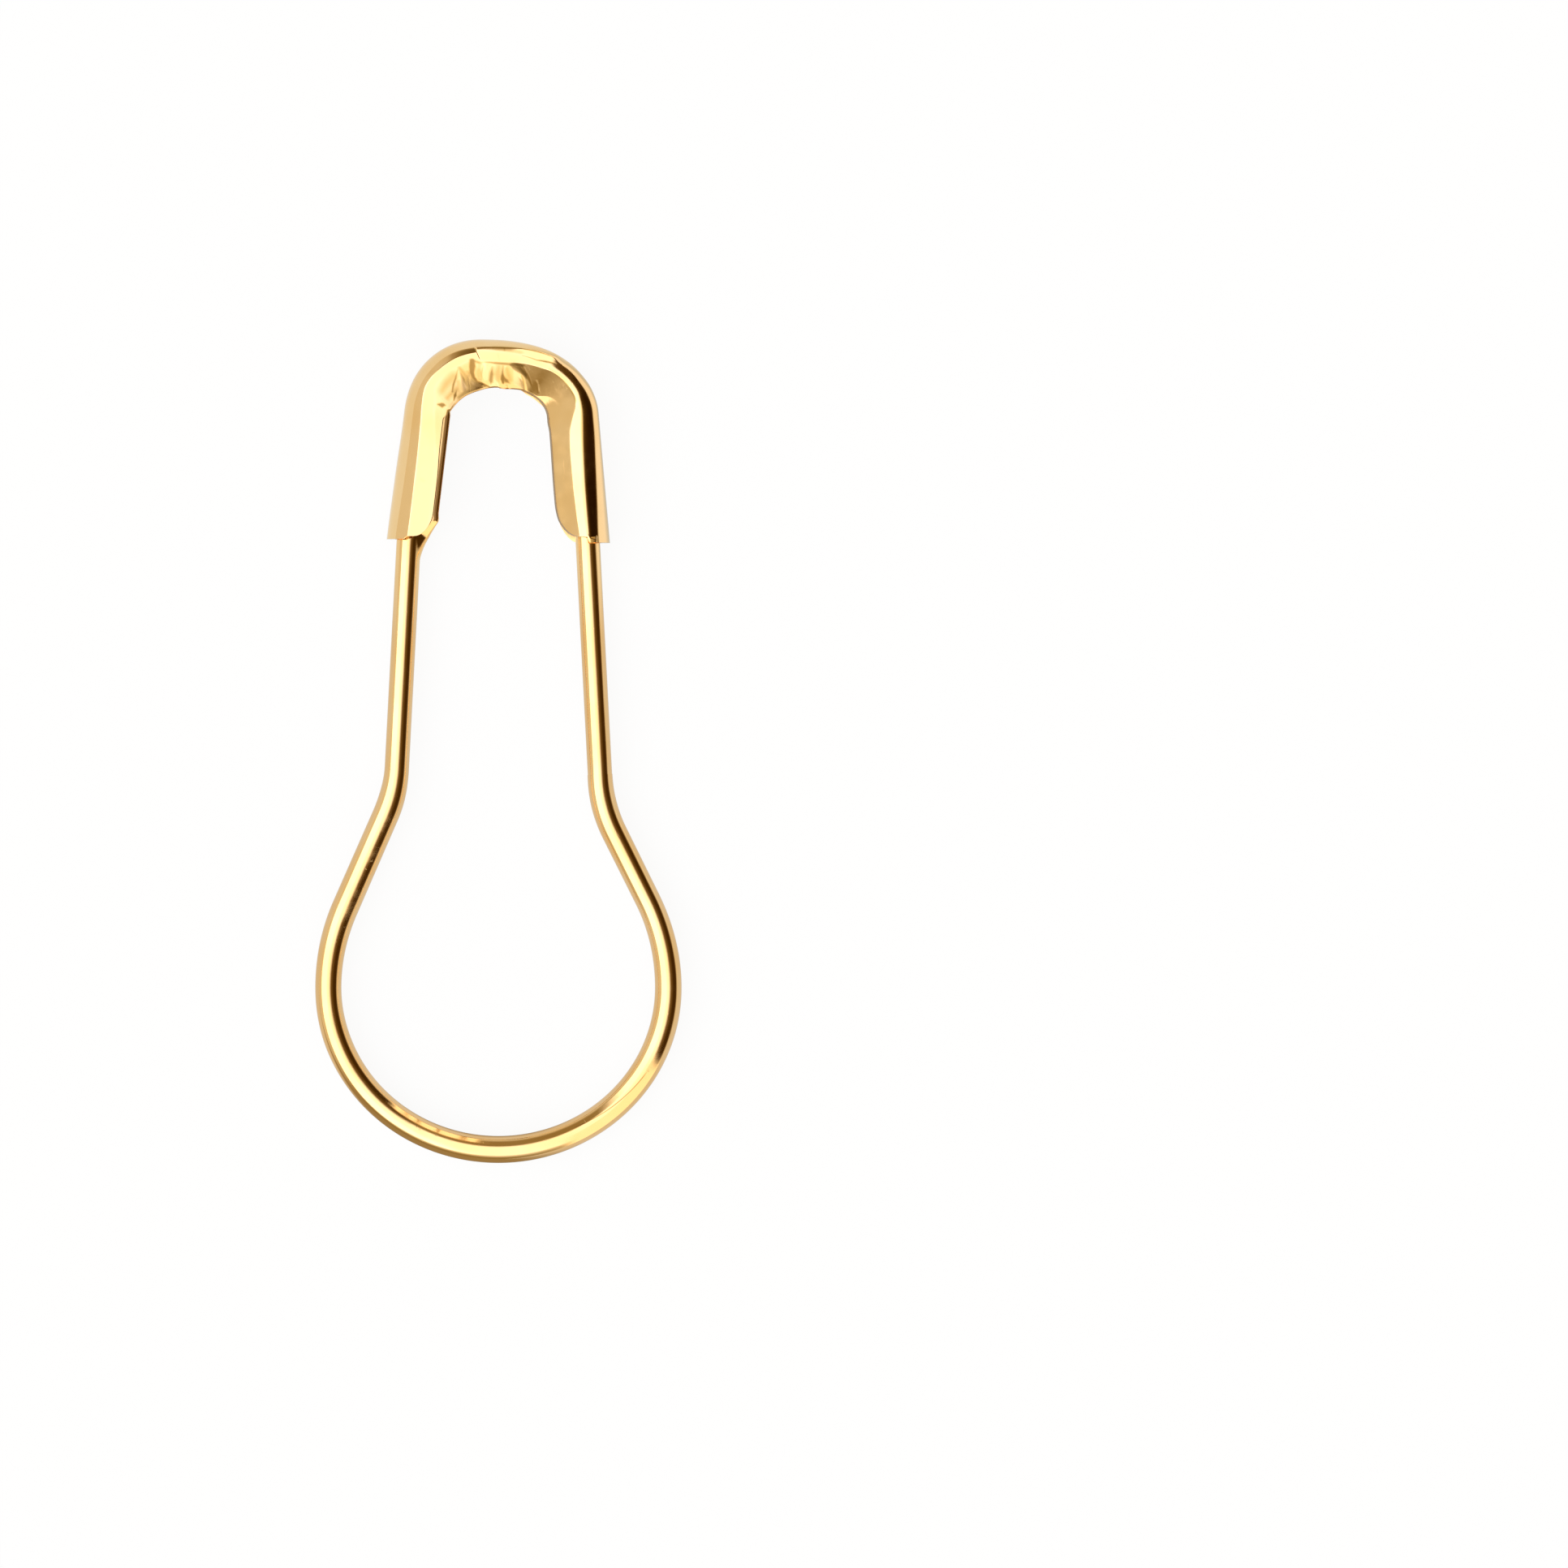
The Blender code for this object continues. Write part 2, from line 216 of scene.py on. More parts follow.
def drawDarkWireLine(tree, vector, colour):
    x, y, along = axes(tree, vector)
    turn = calc(tree, "ARCTAN2", x, calc(tree, "MULTIPLY", y, -1.0))
    turn = calc(tree, "MULTIPLY", turn, 180 / math.pi)
    (start, startTurn), (end, endTurn), soft = darkWireLine["start"], darkWireLine["end"], darkWireLine["softEnd"]
    path = remap(tree, along, start, end, startTurn, endTurn, "LINEAR")
    away = calc(tree, "ABSOLUTE", calc(tree, "SUBTRACT", turn, path))
    line = calc(tree, "MULTIPLY", remap(tree, away, darkWireLine["coreWidth"], darkWireLine["width"], 1.0, 0.0),
                window(tree, along, start + soft, end - soft, soft, soft))
    return layColours(tree, colour, (line, darkWireLine["colour"]))


def goldFinish(name, roughness, coordinates, isSheet):
    # polished gold plate: tone patches, drawing or rolling lines, small dents, scratches, wear, painted shade
    # in the folds and on the rim, and raw cut edges darkened partly by painted shade
    look = goldLook
    material = bpy.data.materials.new(name)
    material.use_nodes = True
    tree = material.node_tree
    shader = tree.nodes["Principled BSDF"]
    shader.inputs["Metallic"].default_value = 1.0
    if coordinates == "object":
        vector = addNode(tree, "ShaderNodeTexCoord").outputs["Object"]
        along = (1.0, look["lineStretch"], 1.0)
    else:
        vector = addNode(tree, "ShaderNodeAttribute", attribute_name=coordinates).outputs["Vector"]
        along = (1.0, 1.0, look["lineStretch"])
    tone = noise(tree, vector, *look["tone"])
    colour = layColours(tree, look["deep"], (remap(tree, tone, *look["toneRange"]), look["bright"]))
    lines = noise(tree, stretch(tree, vector, along), *look["lines"])
    dents = noise(tree, vector, *look["dents"])
    peel = noise(tree, vector, *look["peel"])
    scratches = stretch(tree, vector, look["scratchStretch"], look["scratchPlace"])
    scratch = remap(tree, noise(tree, scratches, *look["scratches"]), *look["scratchRange"])
    spread = roughness[1] - roughness[0]
    gloss = addShares(tree, remap(tree, peel, *look["glossRange"], *roughness),
                      (lines, spread * look["lineShare"]), (scratch, spread * look["scratchShare"]))
    if isSheet:
        worn, shadedShare, rawAndShade = (addNode(tree, "ShaderNodeAttribute", attribute_name=layer).outputs["Fac"]
                              for layer in ("edgeWear", "recess", "cutEdgeAndShade"))
        wear = calc(tree, "MULTIPLY", worn, remap(tree, peel, *look["wearRange"]))
        shadeLevel = calc(tree, "MULTIPLY", shadedShare, remap(tree, dents, *look["shadeRange"]))
        # the painted shade turns the gold deeper and then dark brown, and the raw cut edges take a dark
        # colour that is partly painted shade
        colour = layColours(tree, colour, (wear, look["wornEdge"]),
                            (remap(tree, shadeLevel, 0.0, 0.5, kind="LINEAR"), look["halfShadeGold"]),
                            (remap(tree, shadeLevel, 0.5, 1.0, kind="LINEAR"), look["fullShadeGold"]),
                            (rawAndShade, look["rawEdgeAndShade"]))
        gloss = addShares(tree, gloss, (wear, look["wearRoughness"]), (shadeLevel, look["shadeRoughness"]),
                          (rawAndShade, look["rawRoughness"]))
    else:
        colour = drawDarkWireLine(tree, vector, colour)
    feed(tree, shader.inputs["Base Color"], colour)
    feed(tree, shader.inputs["Roughness"], gloss)
    height = addShares(tree, calc(tree, "MULTIPLY", lines, look["lineHeight"]), (dents, look["dentHeight"]),
                       (peel, look["peelHeight"]), (scratch, look["scratchHeight"]))
    bump = addNode(tree, "ShaderNodeBump", {"Strength": 1.0, "Distance": 1.0, "Height": height})
    feed(tree, shader.inputs["Normal"], bump.outputs["Normal"])
    return material


wireGold = goldFinish("goldWire", goldLook["wireRoughness"], "drawnWire", False)
sheetGold = goldFinish("goldSheet", goldLook["sheetRoughness"], "object", True)
print("finishes made")


# Centre line of the wire, in the plane of the pin

def turnCorner(before, corner, after, radius, step):
    # points of the arc that rounds a corner between two straight runs
    into = (before - corner).normalized()
    out = (after - corner).normalized()
    halfAngle = math.acos(max(-1.0, min(1.0, into.dot(out)))) / 2
    turn = math.pi - 2 * halfAngle
    start = corner + into * (radius / math.tan(halfAngle))
    centre = corner + (into + out).normalized() * (radius / math.sin(halfAngle))
    side = 1 if into.x * out.y - into.y * out.x < 0 else -1
    count = max(2, math.ceil(turn / step))
    arm = start - centre
    return [centre + Matrix.Rotation(side * turn * k / count, 2) @ arm for k in range(count + 1)]


def crossing(pointA, directionA, pointB, directionB):
    cross = directionA.x * directionB.y - directionA.y * directionB.x
    offset = pointB - pointA
    return pointA + directionA * ((offset.x * directionB.y - offset.y * directionB.x) / cross)


def neckLean(side):
    return pin["rightNeckLean"] if side > 0 else pin["leftNeckLean"]


def legSlope(side):
    return math.tan(pin["rightLegLean"] if side > 0 else pin["leftLegLean"])


def legBottom(side):
    return capBottom + (pin["leftLegShort"] if side < 0 else 0.0)


def armDirection(side):
    return Vector((-side * math.sin(pin["armLean"]), math.cos(pin["armLean"])))


def armMouth(side):
    return Vector((side * (halfBottom - wireInset), legBottom(side)))


wirePath = {
    "arcStep": math.radians(1.0),
    "ringSpacing": 0.075 * mm,
    "sides": 48,
    "neckStraight": 0.10 * mm,
    "sharpAngle": math.radians(40),
    # the wire's thickness as a share of its size, in the moving arm and the paddle, and elsewhere on each
    # side by height in mm: a little more round the bulb than in the arms
    "armShare": 0.96,
    "leftShares": ((-8.0, 1.06), (-6.3, 1.03), (-3.4, 1.08), (-1.6, 1.05), (-0.4, 0.96), (0.6, 0.98),
                   (1.6, 1.0), (2.7, 0.96), (3.6, 0.91), (4.5, 0.89), (5.0, 0.96)),
    "rightShares": ((-8.0, 1.06), (-6.3, 1.05), (-4.0, 1.0), (-1.6, 1.02), (-0.4, 0.98), (0.2, 0.96)),
}
armRadius = wireRadius * wirePath["armShare"]
paddle = {
    "thickness": 0.42 * mm,
    "topBelowCap": 1.80 * mm,
    "edgeInset": 0.012 * mm,
    "growth": 0.50 * mm,
    "bevelRun": 0.14 * mm,
    "bevelTilt": math.radians(12.0),
    "bevelHollow": 0.30,
    "bevelFrom": 0.6,    # shares of the way round from the top to the edge
    "bevelTo": 0.9,
    "endRound": 0.25 * mm,
    "finBelowCap": 0.56 * mm,
    "finAboveCap": 0.48 * mm,
    "finReach": 0.42 * mm,
    "finPower": 1.4,
    "finStart": 0.76,
    "finBulge": 0.03 * mm,
    "finBulgeReach": 0.12 * mm,
}


def bulbHalf(side):
    # from the bulb's lowest point round to the end of its shoulder
    centreY = -pin["length"] / 2 + pin["bulbLower"]
    wide = pin["bulbWidth"] / 2 - wireRadius
    low = pin["bulbLower"] - wireRadius
    count = math.ceil(math.pi / 2 / wirePath["arcStep"])
    points = []
    for k in range(count + 1):
        angle = math.pi / 2 * (k / count - 1)
        points.append(Vector((side * wide * math.cos(angle), centreY + low * math.sin(angle))))
    count = math.ceil(neckLean(side) / wirePath["arcStep"])
    for k in range(1, count + 1):
        angle = neckLean(side) * k / count
        across = wide - pin["shoulderRadius"] * (1 - math.cos(angle))
        points.append(Vector((side * across, centreY + pin["shoulderRadius"] * math.sin(angle))))
    return points


def neckArc(side):
    shoulderEnd = bulbHalf(side)[-1]
    run = Vector((-side * math.sin(neckLean(side)), math.cos(neckLean(side))))
    corner = crossing(shoulderEnd, run, armMouth(side), armDirection(side))
    return turnCorner(shoulderEnd, corner, armMouth(side), pin["neckBend"], wirePath["arcStep"])


def fixedLine():
    neck = neckArc(-1)
    mouth = armMouth(-1)
    topY = capTop - paddle["topBelowCap"]
    paddleTop = Vector((mouth.x + (topY - mouth.y) * legSlope(-1), topY))
    seat = turnCorner(neck[-1], mouth, paddleTop, pin["seatBend"], wirePath["arcStep"])
    left = bulbHalf(-1) + neck + seat + [paddleTop]
    return list(reversed(left)) + bulbHalf(1)[1:] + neckArc(1) + [armFoot]


def wireShare(point):
    shares = wirePath["rightShares"] if point.x > 0 else wirePath["leftShares"]
    y = point.y / mm
    for (lowY, lowShare), (highY, highShare) in zip(shares, shares[1:]):
        if y < highY:
            return mix(lowShare, highShare, easeStep((y - lowY) / (highY - lowY)))
    return wirePath["armShare"]


armFoot = neckArc(1)[-1] + armDirection(1) * wirePath["neckStraight"]


# Wire as a Geometry Nodes tree: a path of joined points becomes a round wire of a given radius

def capture(tree, kind, name, geometry, value):
    # keeps a value at each point of a curve, for the mesh that is made of it
    node = addNode(tree, "GeometryNodeCaptureAttribute", domain="POINT")
    node.capture_items.new(kind, name)
    feed(tree, node.inputs["Geometry"], geometry)
    feed(tree, node.inputs[name], value)
    return node.outputs["Geometry"], node.outputs[name]


def wireTree():
    tree = bpy.data.node_groups.new("drawnWire", "GeometryNodeTree")
    for name, kind in (("Path", "Geometry"), ("Wire Radius", "Float"), ("Ring Spacing", "Float"),
                       ("Sides", "Int"), ("Finish", "Material")):
        tree.interface.new_socket(name=name, in_out="INPUT", socket_type="NodeSocket" + kind)
    tree.interface.new_socket(name="Wire", in_out="OUTPUT", socket_type="NodeSocketGeometry")
    start = addNode(tree, "NodeGroupInput").outputs
    curve = addNode(tree, "GeometryNodeMeshToCurve", (start["Path"],))
    rings = addNode(tree, "GeometryNodeResampleCurve",
                    {"Curve": curve.outputs[0], "Length": start["Ring Spacing"]}, mode="LENGTH")
    upright = addNode(tree, "GeometryNodeSetCurveNormal", (rings.outputs[0],), mode="Z_UP")
    length = addNode(tree, "GeometryNodeSplineParameter").outputs["Length"]
    line, along = capture(tree, "FLOAT", "Along", upright.outputs[0], length)
    circle = addNode(tree, "GeometryNodeCurvePrimitiveCircle",
                     {"Resolution": start["Sides"], "Radius": start["Wire Radius"]})
    position = addNode(tree, "GeometryNodeInputPosition").outputs[0]
    ring, around = capture(tree, "VECTOR", "Around", circle.outputs["Curve"], position)
    taper = addNode(tree, "GeometryNodeInputNamedAttribute", {"Name": "taper"}, data_type="FLOAT")
    tube = addNode(tree, "GeometryNodeCurveToMesh", {
        "Curve": line, "Profile Curve": ring, "Scale": taper.outputs["Attribute"], "Fill Caps": True})
    # each point keeps its place in the wire's round section and how far along the wire it is
    place = addNode(tree, "ShaderNodeCombineXYZ", (*axes(tree, around)[:2], along))
    store = addNode(tree, "GeometryNodeStoreNamedAttribute",
                    {"Name": "drawnWire", "Geometry": tube.outputs[0], "Value": place.outputs[0]},
                    data_type="FLOAT_VECTOR", domain="POINT")
    real = addNode(tree, "GeometryNodeRealizeInstances", (store.outputs[0],))
    paint = addNode(tree, "GeometryNodeSetMaterial",
                    {"Geometry": real.outputs[0], "Material": start["Finish"]})
    feed(tree, addNode(tree, "NodeGroupOutput").inputs["Wire"], paint.outputs[0])
    return tree


def drawWire(name, points, tapers, tree):
    # a plain mesh of round wire along points in the plane, each with its share of the full radius
    mesh = bpy.data.meshes.new(name)
    edges = [(k, k + 1) for k in range(len(points) - 1)]
    mesh.from_pydata([(point.x, point.y, wireHeight) for point in points], edges, [])
    mesh.attributes.new("taper", "FLOAT", "POINT").data.foreach_set("value", tapers)
    wire = addObject(name, mesh)
    draw = wire.modifiers.new("draw", "NODES")
    draw.node_group = tree
    values = {
        "Wire Radius": wireRadius,
        "Ring Spacing": wirePath["ringSpacing"],
        "Sides": wirePath["sides"],
        "Finish": wireGold,
    }
    for item in tree.interface.items_tree:
        if item.in_out == "INPUT" and item.name in values:
            draw[item.identifier] = values[item.name]
    bpy.context.view_layer.update()
    solid = bpy.data.meshes.new_from_object(wire.evaluated_get(bpy.context.evaluated_depsgraph_get()))
    wire.modifiers.remove(draw)
    wire.data = solid
    solid.name = name
    return wire


def tidyMesh(piece, sharpAngle):
    shell = bmesh.new()
    shell.from_mesh(piece.data)
    bmesh.ops.remove_doubles(shell, verts=shell.verts, dist=pin["tinyJoin"])
    bmesh.ops.recalc_face_normals(shell, faces=shell.faces)
    shell.to_mesh(piece.data)
    shell.free()
    piece.data.shade_smooth()
    piece.data.set_sharp_from_angle(angle=sharpAngle)


notch = {
    "width": 2.58 * mm,
    "archHeight": 0.97 * mm,
    "webHeight": 1.27 * mm,
    "squareness": 1.85,
}
notchBase = capTop - notch["webHeight"] - notch["archHeight"]


def leftInnerEdge(y):
    return -notch["width"] / 2 - (notchBase - y) * legSlope(-1)


def swage(piece):
    # flatten the fixed end into the paddle: a thin fin grows out of the wire below the cap, and inside the
    # cap the whole wire turns into a flat blade with a bevelled edge
    mouth = armMouth(-1)
    startY = mouth.y - paddle["finBelowCap"]
    finLength = paddle["finBelowCap"] + paddle["finAboveCap"]
    topY = capTop - paddle["topBelowCap"]
    halfThick = paddle["thickness"] / 2
    bevelDrop = paddle["bevelRun"] * math.tan(paddle["bevelTilt"])
    flatEnd, bevelEnd = paddle["bevelFrom"], paddle["bevelTo"]
    for vert in piece.data.vertices:
        if vert.co.x > 0 or vert.co.y < startY:
            continue
        y = vert.co.y
        rise = max(y - mouth.y, 0.0)
        fall = max(mouth.y - y, 0.0)
        centreX = mouth.x + rise * legSlope(-1) - fall * math.tan(pin["armLean"])
        across = (vert.co.x - centreX) / armRadius
        above = (vert.co.z - wireHeight) / armRadius
        full = leftInnerEdge(y) - paddle["edgeInset"] - centreX - armRadius
        fromBulge = (rise - paddle["finAboveCap"]) / paddle["finBulgeReach"]
        full += paddle["finBulge"] * math.exp(-fromBulge ** 2)
        fin = paddle["finReach"] * ((y - startY) / finLength) ** paddle["finPower"]
        fin = min(fin, full)
        finShare = max(across - paddle["finStart"], 0.0) / (1 - paddle["finStart"])
        x = centreX + across * armRadius + fin * finShare
        z = above * armRadius
        endShare = clamp((topY - y) / paddle["endRound"])
        cornerCut = paddle["endRound"] * (1 - math.sqrt(max(0.0, endShare * (2 - endShare))))
        reach = armRadius + fin - cornerCut
        if across > 0:
            around = 1 - math.atan2(abs(above), across) / (math.pi / 2)
            bevel = clamp((around - flatEnd) / (bevelEnd - flatEnd))
            bladeX = centreX + (reach - paddle["bevelRun"]) * min(around / flatEnd, 1.0)
            bladeX += paddle["bevelRun"] * bevel
            hollow = bevel + paddle["bevelHollow"] * bevel * (1 - bevel)
            bladeZ = (halfThick - bevelDrop * hollow) * (1 - max(around - bevelEnd, 0.0) / (1 - bevelEnd))
        else:
            bladeX = centreX + across * armRadius
            bladeZ = min(abs(z), halfThick)
        share = easeStep(rise / paddle["growth"])
        vert.co.x = mix(x, bladeX, share)
        vert.co.z = wireHeight + mix(z, math.copysign(bladeZ, above), share)


drawnWireTree = wireTree()
fixedPoints = fixedLine()
springWire = drawWire("springWire", fixedPoints, [wireShare(point) for point in fixedPoints], drawnWireTree)
swage(springWire)
tidyMesh(springWire, wirePath["sharpAngle"])
print("spring wire drawn,", len(springWire.data.polygons), "faces")


movingArmShape = {
    "pointBelowCap": 2.50 * mm,
    "taperLength": 3.1 * mm,
    "pointRadius": 0.04 * mm,
    "flexBelow": 0.70 * mm,
    "flexAbove": 0.95 * mm,
    "straightStep": 0.5 * mm,
    "taperSteps": 40,
    "roundSteps": 8,
}


def armLine():
    # a straight shank, a long taper and a small round point, as places and shares of the full radius
    shape = movingArmShape
    pointRadius, taperLength = shape["pointRadius"], shape["taperLength"]
    tipY = capTop - shape["pointBelowCap"]
    length = (tipY - armFoot.y) / math.cos(pin["armLean"])
    straightEnd = length - pointRadius - taperLength
    thin = pointRadius / wireRadius
    count = math.ceil(straightEnd / shape["straightStep"])
    places = [(straightEnd * k / count, 1.0) for k in range(count + 1)]
    for k in range(1, shape["taperSteps"] + 1):
        share = k / shape["taperSteps"]
        places.append((straightEnd + taperLength * share, mix(thin, 1.0, math.cos(share * math.pi / 2))))
    for k in range(1, shape["roundSteps"] + 1):
        angle = math.pi / 2 * k / (shape["roundSteps"] + 1)
        places.append((length - pointRadius * (1 - math.sin(angle)), thin * math.cos(angle)))
    points = [armFoot + armDirection(1) * away for away, share in places]
    return points, [share * wirePath["armShare"] for away, share in places]


armPoints, armTapers = armLine()
movingArm = drawWire("movingArm", armPoints, armTapers, drawnWireTree)
tidyMesh(movingArm, wirePath["sharpAngle"])
print("moving arm drawn,", len(movingArm.data.polygons), "faces")


# Cap: one sheet folded into a channel and bent over an arch

cap = {
    "archHeight": 2.01 * mm,
    "archShift": -0.33 * mm,
    "archSquareness": 2.37,
    "backRound": 0.27 * mm,
    "leftCorner": (0.44 * mm, 0.70 * mm),
    "rightCorner": (0.56 * mm, 1.05 * mm),
    "leftTrim": (0.50 * mm, 0.07 * mm),
    "rightTrim": (0.33 * mm, 0.15 * mm),
    "trimReach": 0.60 * mm,
    "trimRound": 0.04 * mm,
    "toeFrom": 2.42 * mm,
    "toeTo": 2.63 * mm,
    "toeHeight": 0.13 * mm,
    "toeSoft": 0.05 * mm,
    "toeSlope": 0.40,
    "slitPlace": -0.09,
    "slitReach": 0.03,
    "slitStations": 24,
    "archStations": 330,
    "legStations": 74,
    "legCrowding": 1.3,
    "foldSteps": 12,
    "backSteps": 7,
    "facetSteps": (9, 12, 34, 10, 3),
    "creaseSteps": 4,
    "innerStride": 4,
    "edgeRound": 0.008 * mm,
    "leastFacet": 0.012 * mm,
    "roundLimit": 0.45,          # of the facet on either side
    "cutSoft": 0.035 * mm,
    "pleatSoft": 0.07 * mm,
    "pressedSoft": 0.06 * mm,
    "rimSoft": 0.05 * mm,
    "rimEndSoft": 0.02 * mm,
    "wearReach": 0.04 * mm,
    "bandWear": (0.5, 0.3),      # at its outer and its inner crease
    # painted shade on the inner skin, and the height over which it fades out at the foot
    "innerShade": 0.60,
    "shadeFadeAtFoot": 0.50 * mm,
    "ridgeEnds": 0.2,            # of its length, over which a ridge fades before and past each end
    "ridgeReach": 3.0,           # half widths, past which a ridge is left out
    "pleatReach": 0.1,           # places, past which a run of a pleat is left out
    "placeLength": 2.0,          # mm that a place counts as
    "liftUnit": 0.01 * mm,
    "sharpAngle": math.radians(50),
}

# The cap's section along its length. Places run from the left foot (-2) over the ends of the arch
# (-1 and 1) to the right foot (2). Depths are in mm from the outer edge, and tilts in degrees, with
# more than zero for a slope that falls outwards and less for one that falls towards the notch.
capCurves = {
    "wall": (
        (-2, .00), (-1.5, .02), (-1, .06), (-.5, .05), (-.1, .03), (.25, .06), (.65, .07), (.85, .03),
        (1, .00), (2, .00)),
    "roundEnd": (
        (-2, .25), (-1.5, .30), (-1, .32), (-.6, .31), (-.4, .28), (-.2, .27), (-.1, .265), (0, .255),
        (.15, .235), (.3, .20), (.42, .185), (.5, .24), (.7, .24), (.85, .195), (1, .15), (1.1, .15),
        (1.4, .19), (1.7, .24), (2, .29)),
    "bandStart": (
        (-2, .575), (-1.4, .575), (-1.1, .56), (-.9, .53), (-.7, .455), (-.5, .46), (-.3, .44), (-.1, .41),
        (-.08, .345), (0, .345), (.15, .37), (.3, .41), (.42, .40), (.5, .405), (.7, .395), (.8, .39),
        (.86, .41), (.92, .425), (1, .44), (1.2, .485), (1.5, .505), (2, .52)),
    "bandEnd": (
        (-2, 1.10), (-1.4, 1.08), (-1.2, .99), (-1, .90), (-.8, .86), (-.65, .69), (-.35, .68), (-.2, .63),
        (-.14, .61), (-.04, .665), (.05, .65), (.2, .61), (.4, .575), (.5, .53), (.7, .51), (.8, .50),
        (.9, .57), (1, .70), (1.12, .81), (1.3, .84), (1.5, .84), (2, .80)),
    "slopeEnd": (
        (-2, 1.13), (-1.1, 1.12), (-1, 1.06), (-.85, 1.18), (-.7, 1.26), (-.5, 1.34), (-.3, 1.39),
        (-.12, 1.33), (-.05, 1.29), (0, 1.23), (.2, 1.22), (.33, 1.26), (.42, 1.29), (.53, 1.31),
        (.65, 1.13), (.75, 1.03), (.85, .98), (.95, .93), (1.05, .87), (1.2, .865), (1.5, .86), (2, .82)),
    "edge": (
        (-2, 1.185), (-1.5, 1.18), (-1.2, 1.145), (-1, 1.15), (-.85, 1.29), (-.7, 1.375), (-.5, 1.44),
        (-.3, 1.485), (-.15, 1.455), (-.05, 1.41), (.05, 1.35), (.35, 1.33), (.45, 1.35), (.65, 1.385),
        (.75, 1.40), (.9, 1.405), (1, 1.385), (1.1, 1.355), (1.6, 1.375), (2, 1.375)),
    "lipWidth": ((-2, .02), (-.9, .02), (0, .03), (.5, .03), (.7, .05), (2, .045)),
    "backReach": (
        (-2, .075), (-1, .08), (-.8, -.02), (.3, -.02), (.42, .05), (.6, .045), (.8, -.02), (2, .0)),
    "roundTilt": ((-2, 48), (-.2, 48), (0, 50), (.3, 49), (.5, 47), (2, 46)),
    "rimStartTilt": (
        (-2, 38), (-.7, 38), (-.5, 42), (-.38, 41), (-.28, 36), (-.1, 34), (-.08, 18), (.12, 14), (.2, 4),
        (.44, 3), (.52, 19), (.62, 22), (.75, 32), (1, 33), (1.4, 34), (2, 34)),
    "rimEndTilt": (
        (-2, 34), (-.7, 35), (-.5, 41), (-.38, 39), (-.28, 32), (-.1, 30), (-.08, 10), (.12, 8), (.2, 3),
        (.43, 2), (.52, 17), (.6, 19), (.8, 17), (1, 11), (1.1, 12), (1.4, 19), (2, 21)),
    "bandStartTilt": (
        (-2, 0), (.4, 1), (.55, 6), (.8, 5), (.9, 1), (1, -5), (1.15, -8), (1.35, -3), (1.6, 4), (2, 4)),
    "bandEndTilt": ((-2, 0), (-.1, -1), (.4, -3), (.8, -12), (.92, -26), (1, -29), (2, -29)),
    "slopeStartTilt": (
        (-2, 0), (-1.2, 0), (-1, -1), (-.75, -2), (-.45, -4), (-.24, -8), (-.1, -12), (.08, -15),
        (.17, -34), (.5, -35.3), (.6, -34.6), (.7, -34.4), (.8, -33.8), (.92, -33), (1, -32.5), (2, -32.5)),
    "slopeEndTilt": (
        (-2, 0), (-1.2, 0), (-1, -1), (-.75, -2), (-.45, -5), (-.1, -12), (0, -14), (.16, -22), (.35, -25),
        (.5, -33), (.8, -33.5), (.92, -32.7), (2, -32.5)),
    "pleatDepth": (
        (-2, .90), (0, .72), (.1, .72), (.2, .84), (.3, .95), (.42, 1.16), (.52, 1.32), (.7, 1.6),
        (2, 1.6)),
    "lipTilt": (
        (-2, 0), (-1, -2), (-.75, -4), (-.5, -6), (-.12, -14), (-.05, -17), (0, -18), (.3, -20), (.42, -22),
        (.55, -31.2), (.65, -32.3), (.75, -32.4), (.85, -31.6), (1, -32.3), (2, -33)),
    "edgeTilt": ((-2, -20), (-1, -20), (-.7, -35), (.3, -35), (.6, -62), (2, -66)),
    "roundCrease": ((-2, .020), (-.1, .015), (.4, .012), (1, .025), (2, .025)),
    "bandCrease": (
        (-2, .012), (-.6, .020), (-.1, .012), (.4, .014), (.5, .030), (.7, .030), (.9, .065), (1.1, .090),
        (1.4, .080), (2, .070)),
    "slopeCrease": (
        (-2, .020), (-.6, .030), (-.1, .016), (.3, .012), (.5, .018), (.8, .030), (1, .030), (2, .010)),
    "lipCrease": ((-2, .020), (0, .014), (.5, .014), (.8, .020), (2, .010)),
    # painted shade over the pressed web
    "deepTone": (
        (-2, .02), (-1.35, .02), (-1.2, .10), (-1, .14), (-.85, .06), (-.7, .0), (.15, .0), (.3, .06),
        (.6, .05), (2, .04)),
    # painted shade on the rim between the rounded fold and the band, strongest along the right leg
    "rimShade": (
        (-2, .0), (-.45, .0), (-.30, .16), (-.22, .70), (-.1, .80), (-.08, .0), (.42, .0), (.5, .25),
        (.7, .45), (.9, .9), (2, .95)),
    # raw cut edge along the lip, darkened partly by painted shade
    "cutEdgeAndShade": ((-2, .3), (-1, .3), (-.6, .45), (.35, .3), (.5, .8), (2, .95)),
}

# Ridges of the gathered web, each along a line of the sheet: place and depth where it starts, place and depth
# where it ends, half width in places, height in hundredths of a mm, and how much painted shade it adds (less
# than zero takes painted shade away)
webRidges = (
    (.165, .62, .460, 1.34, .034, -0.5, .30),
    (.255, .96, .395, 1.36, .020, 1.2, -.25),
    (.225, .62, .310, .86, .006, 0.3, -.30),
    (.310, .84, .430, 1.15, .006, 0.3, -.20),
    (.430, .96, .525, 1.20, .014, 0.8, -.35),
    (-1.505, .68, -1.520, .86, .010, -0.1, .10),
    (-.090, .30, -.090, .58, .0040, -0.8, .45),
    (.046, .40, .050, .62, .0060, -0.10, .08),
)
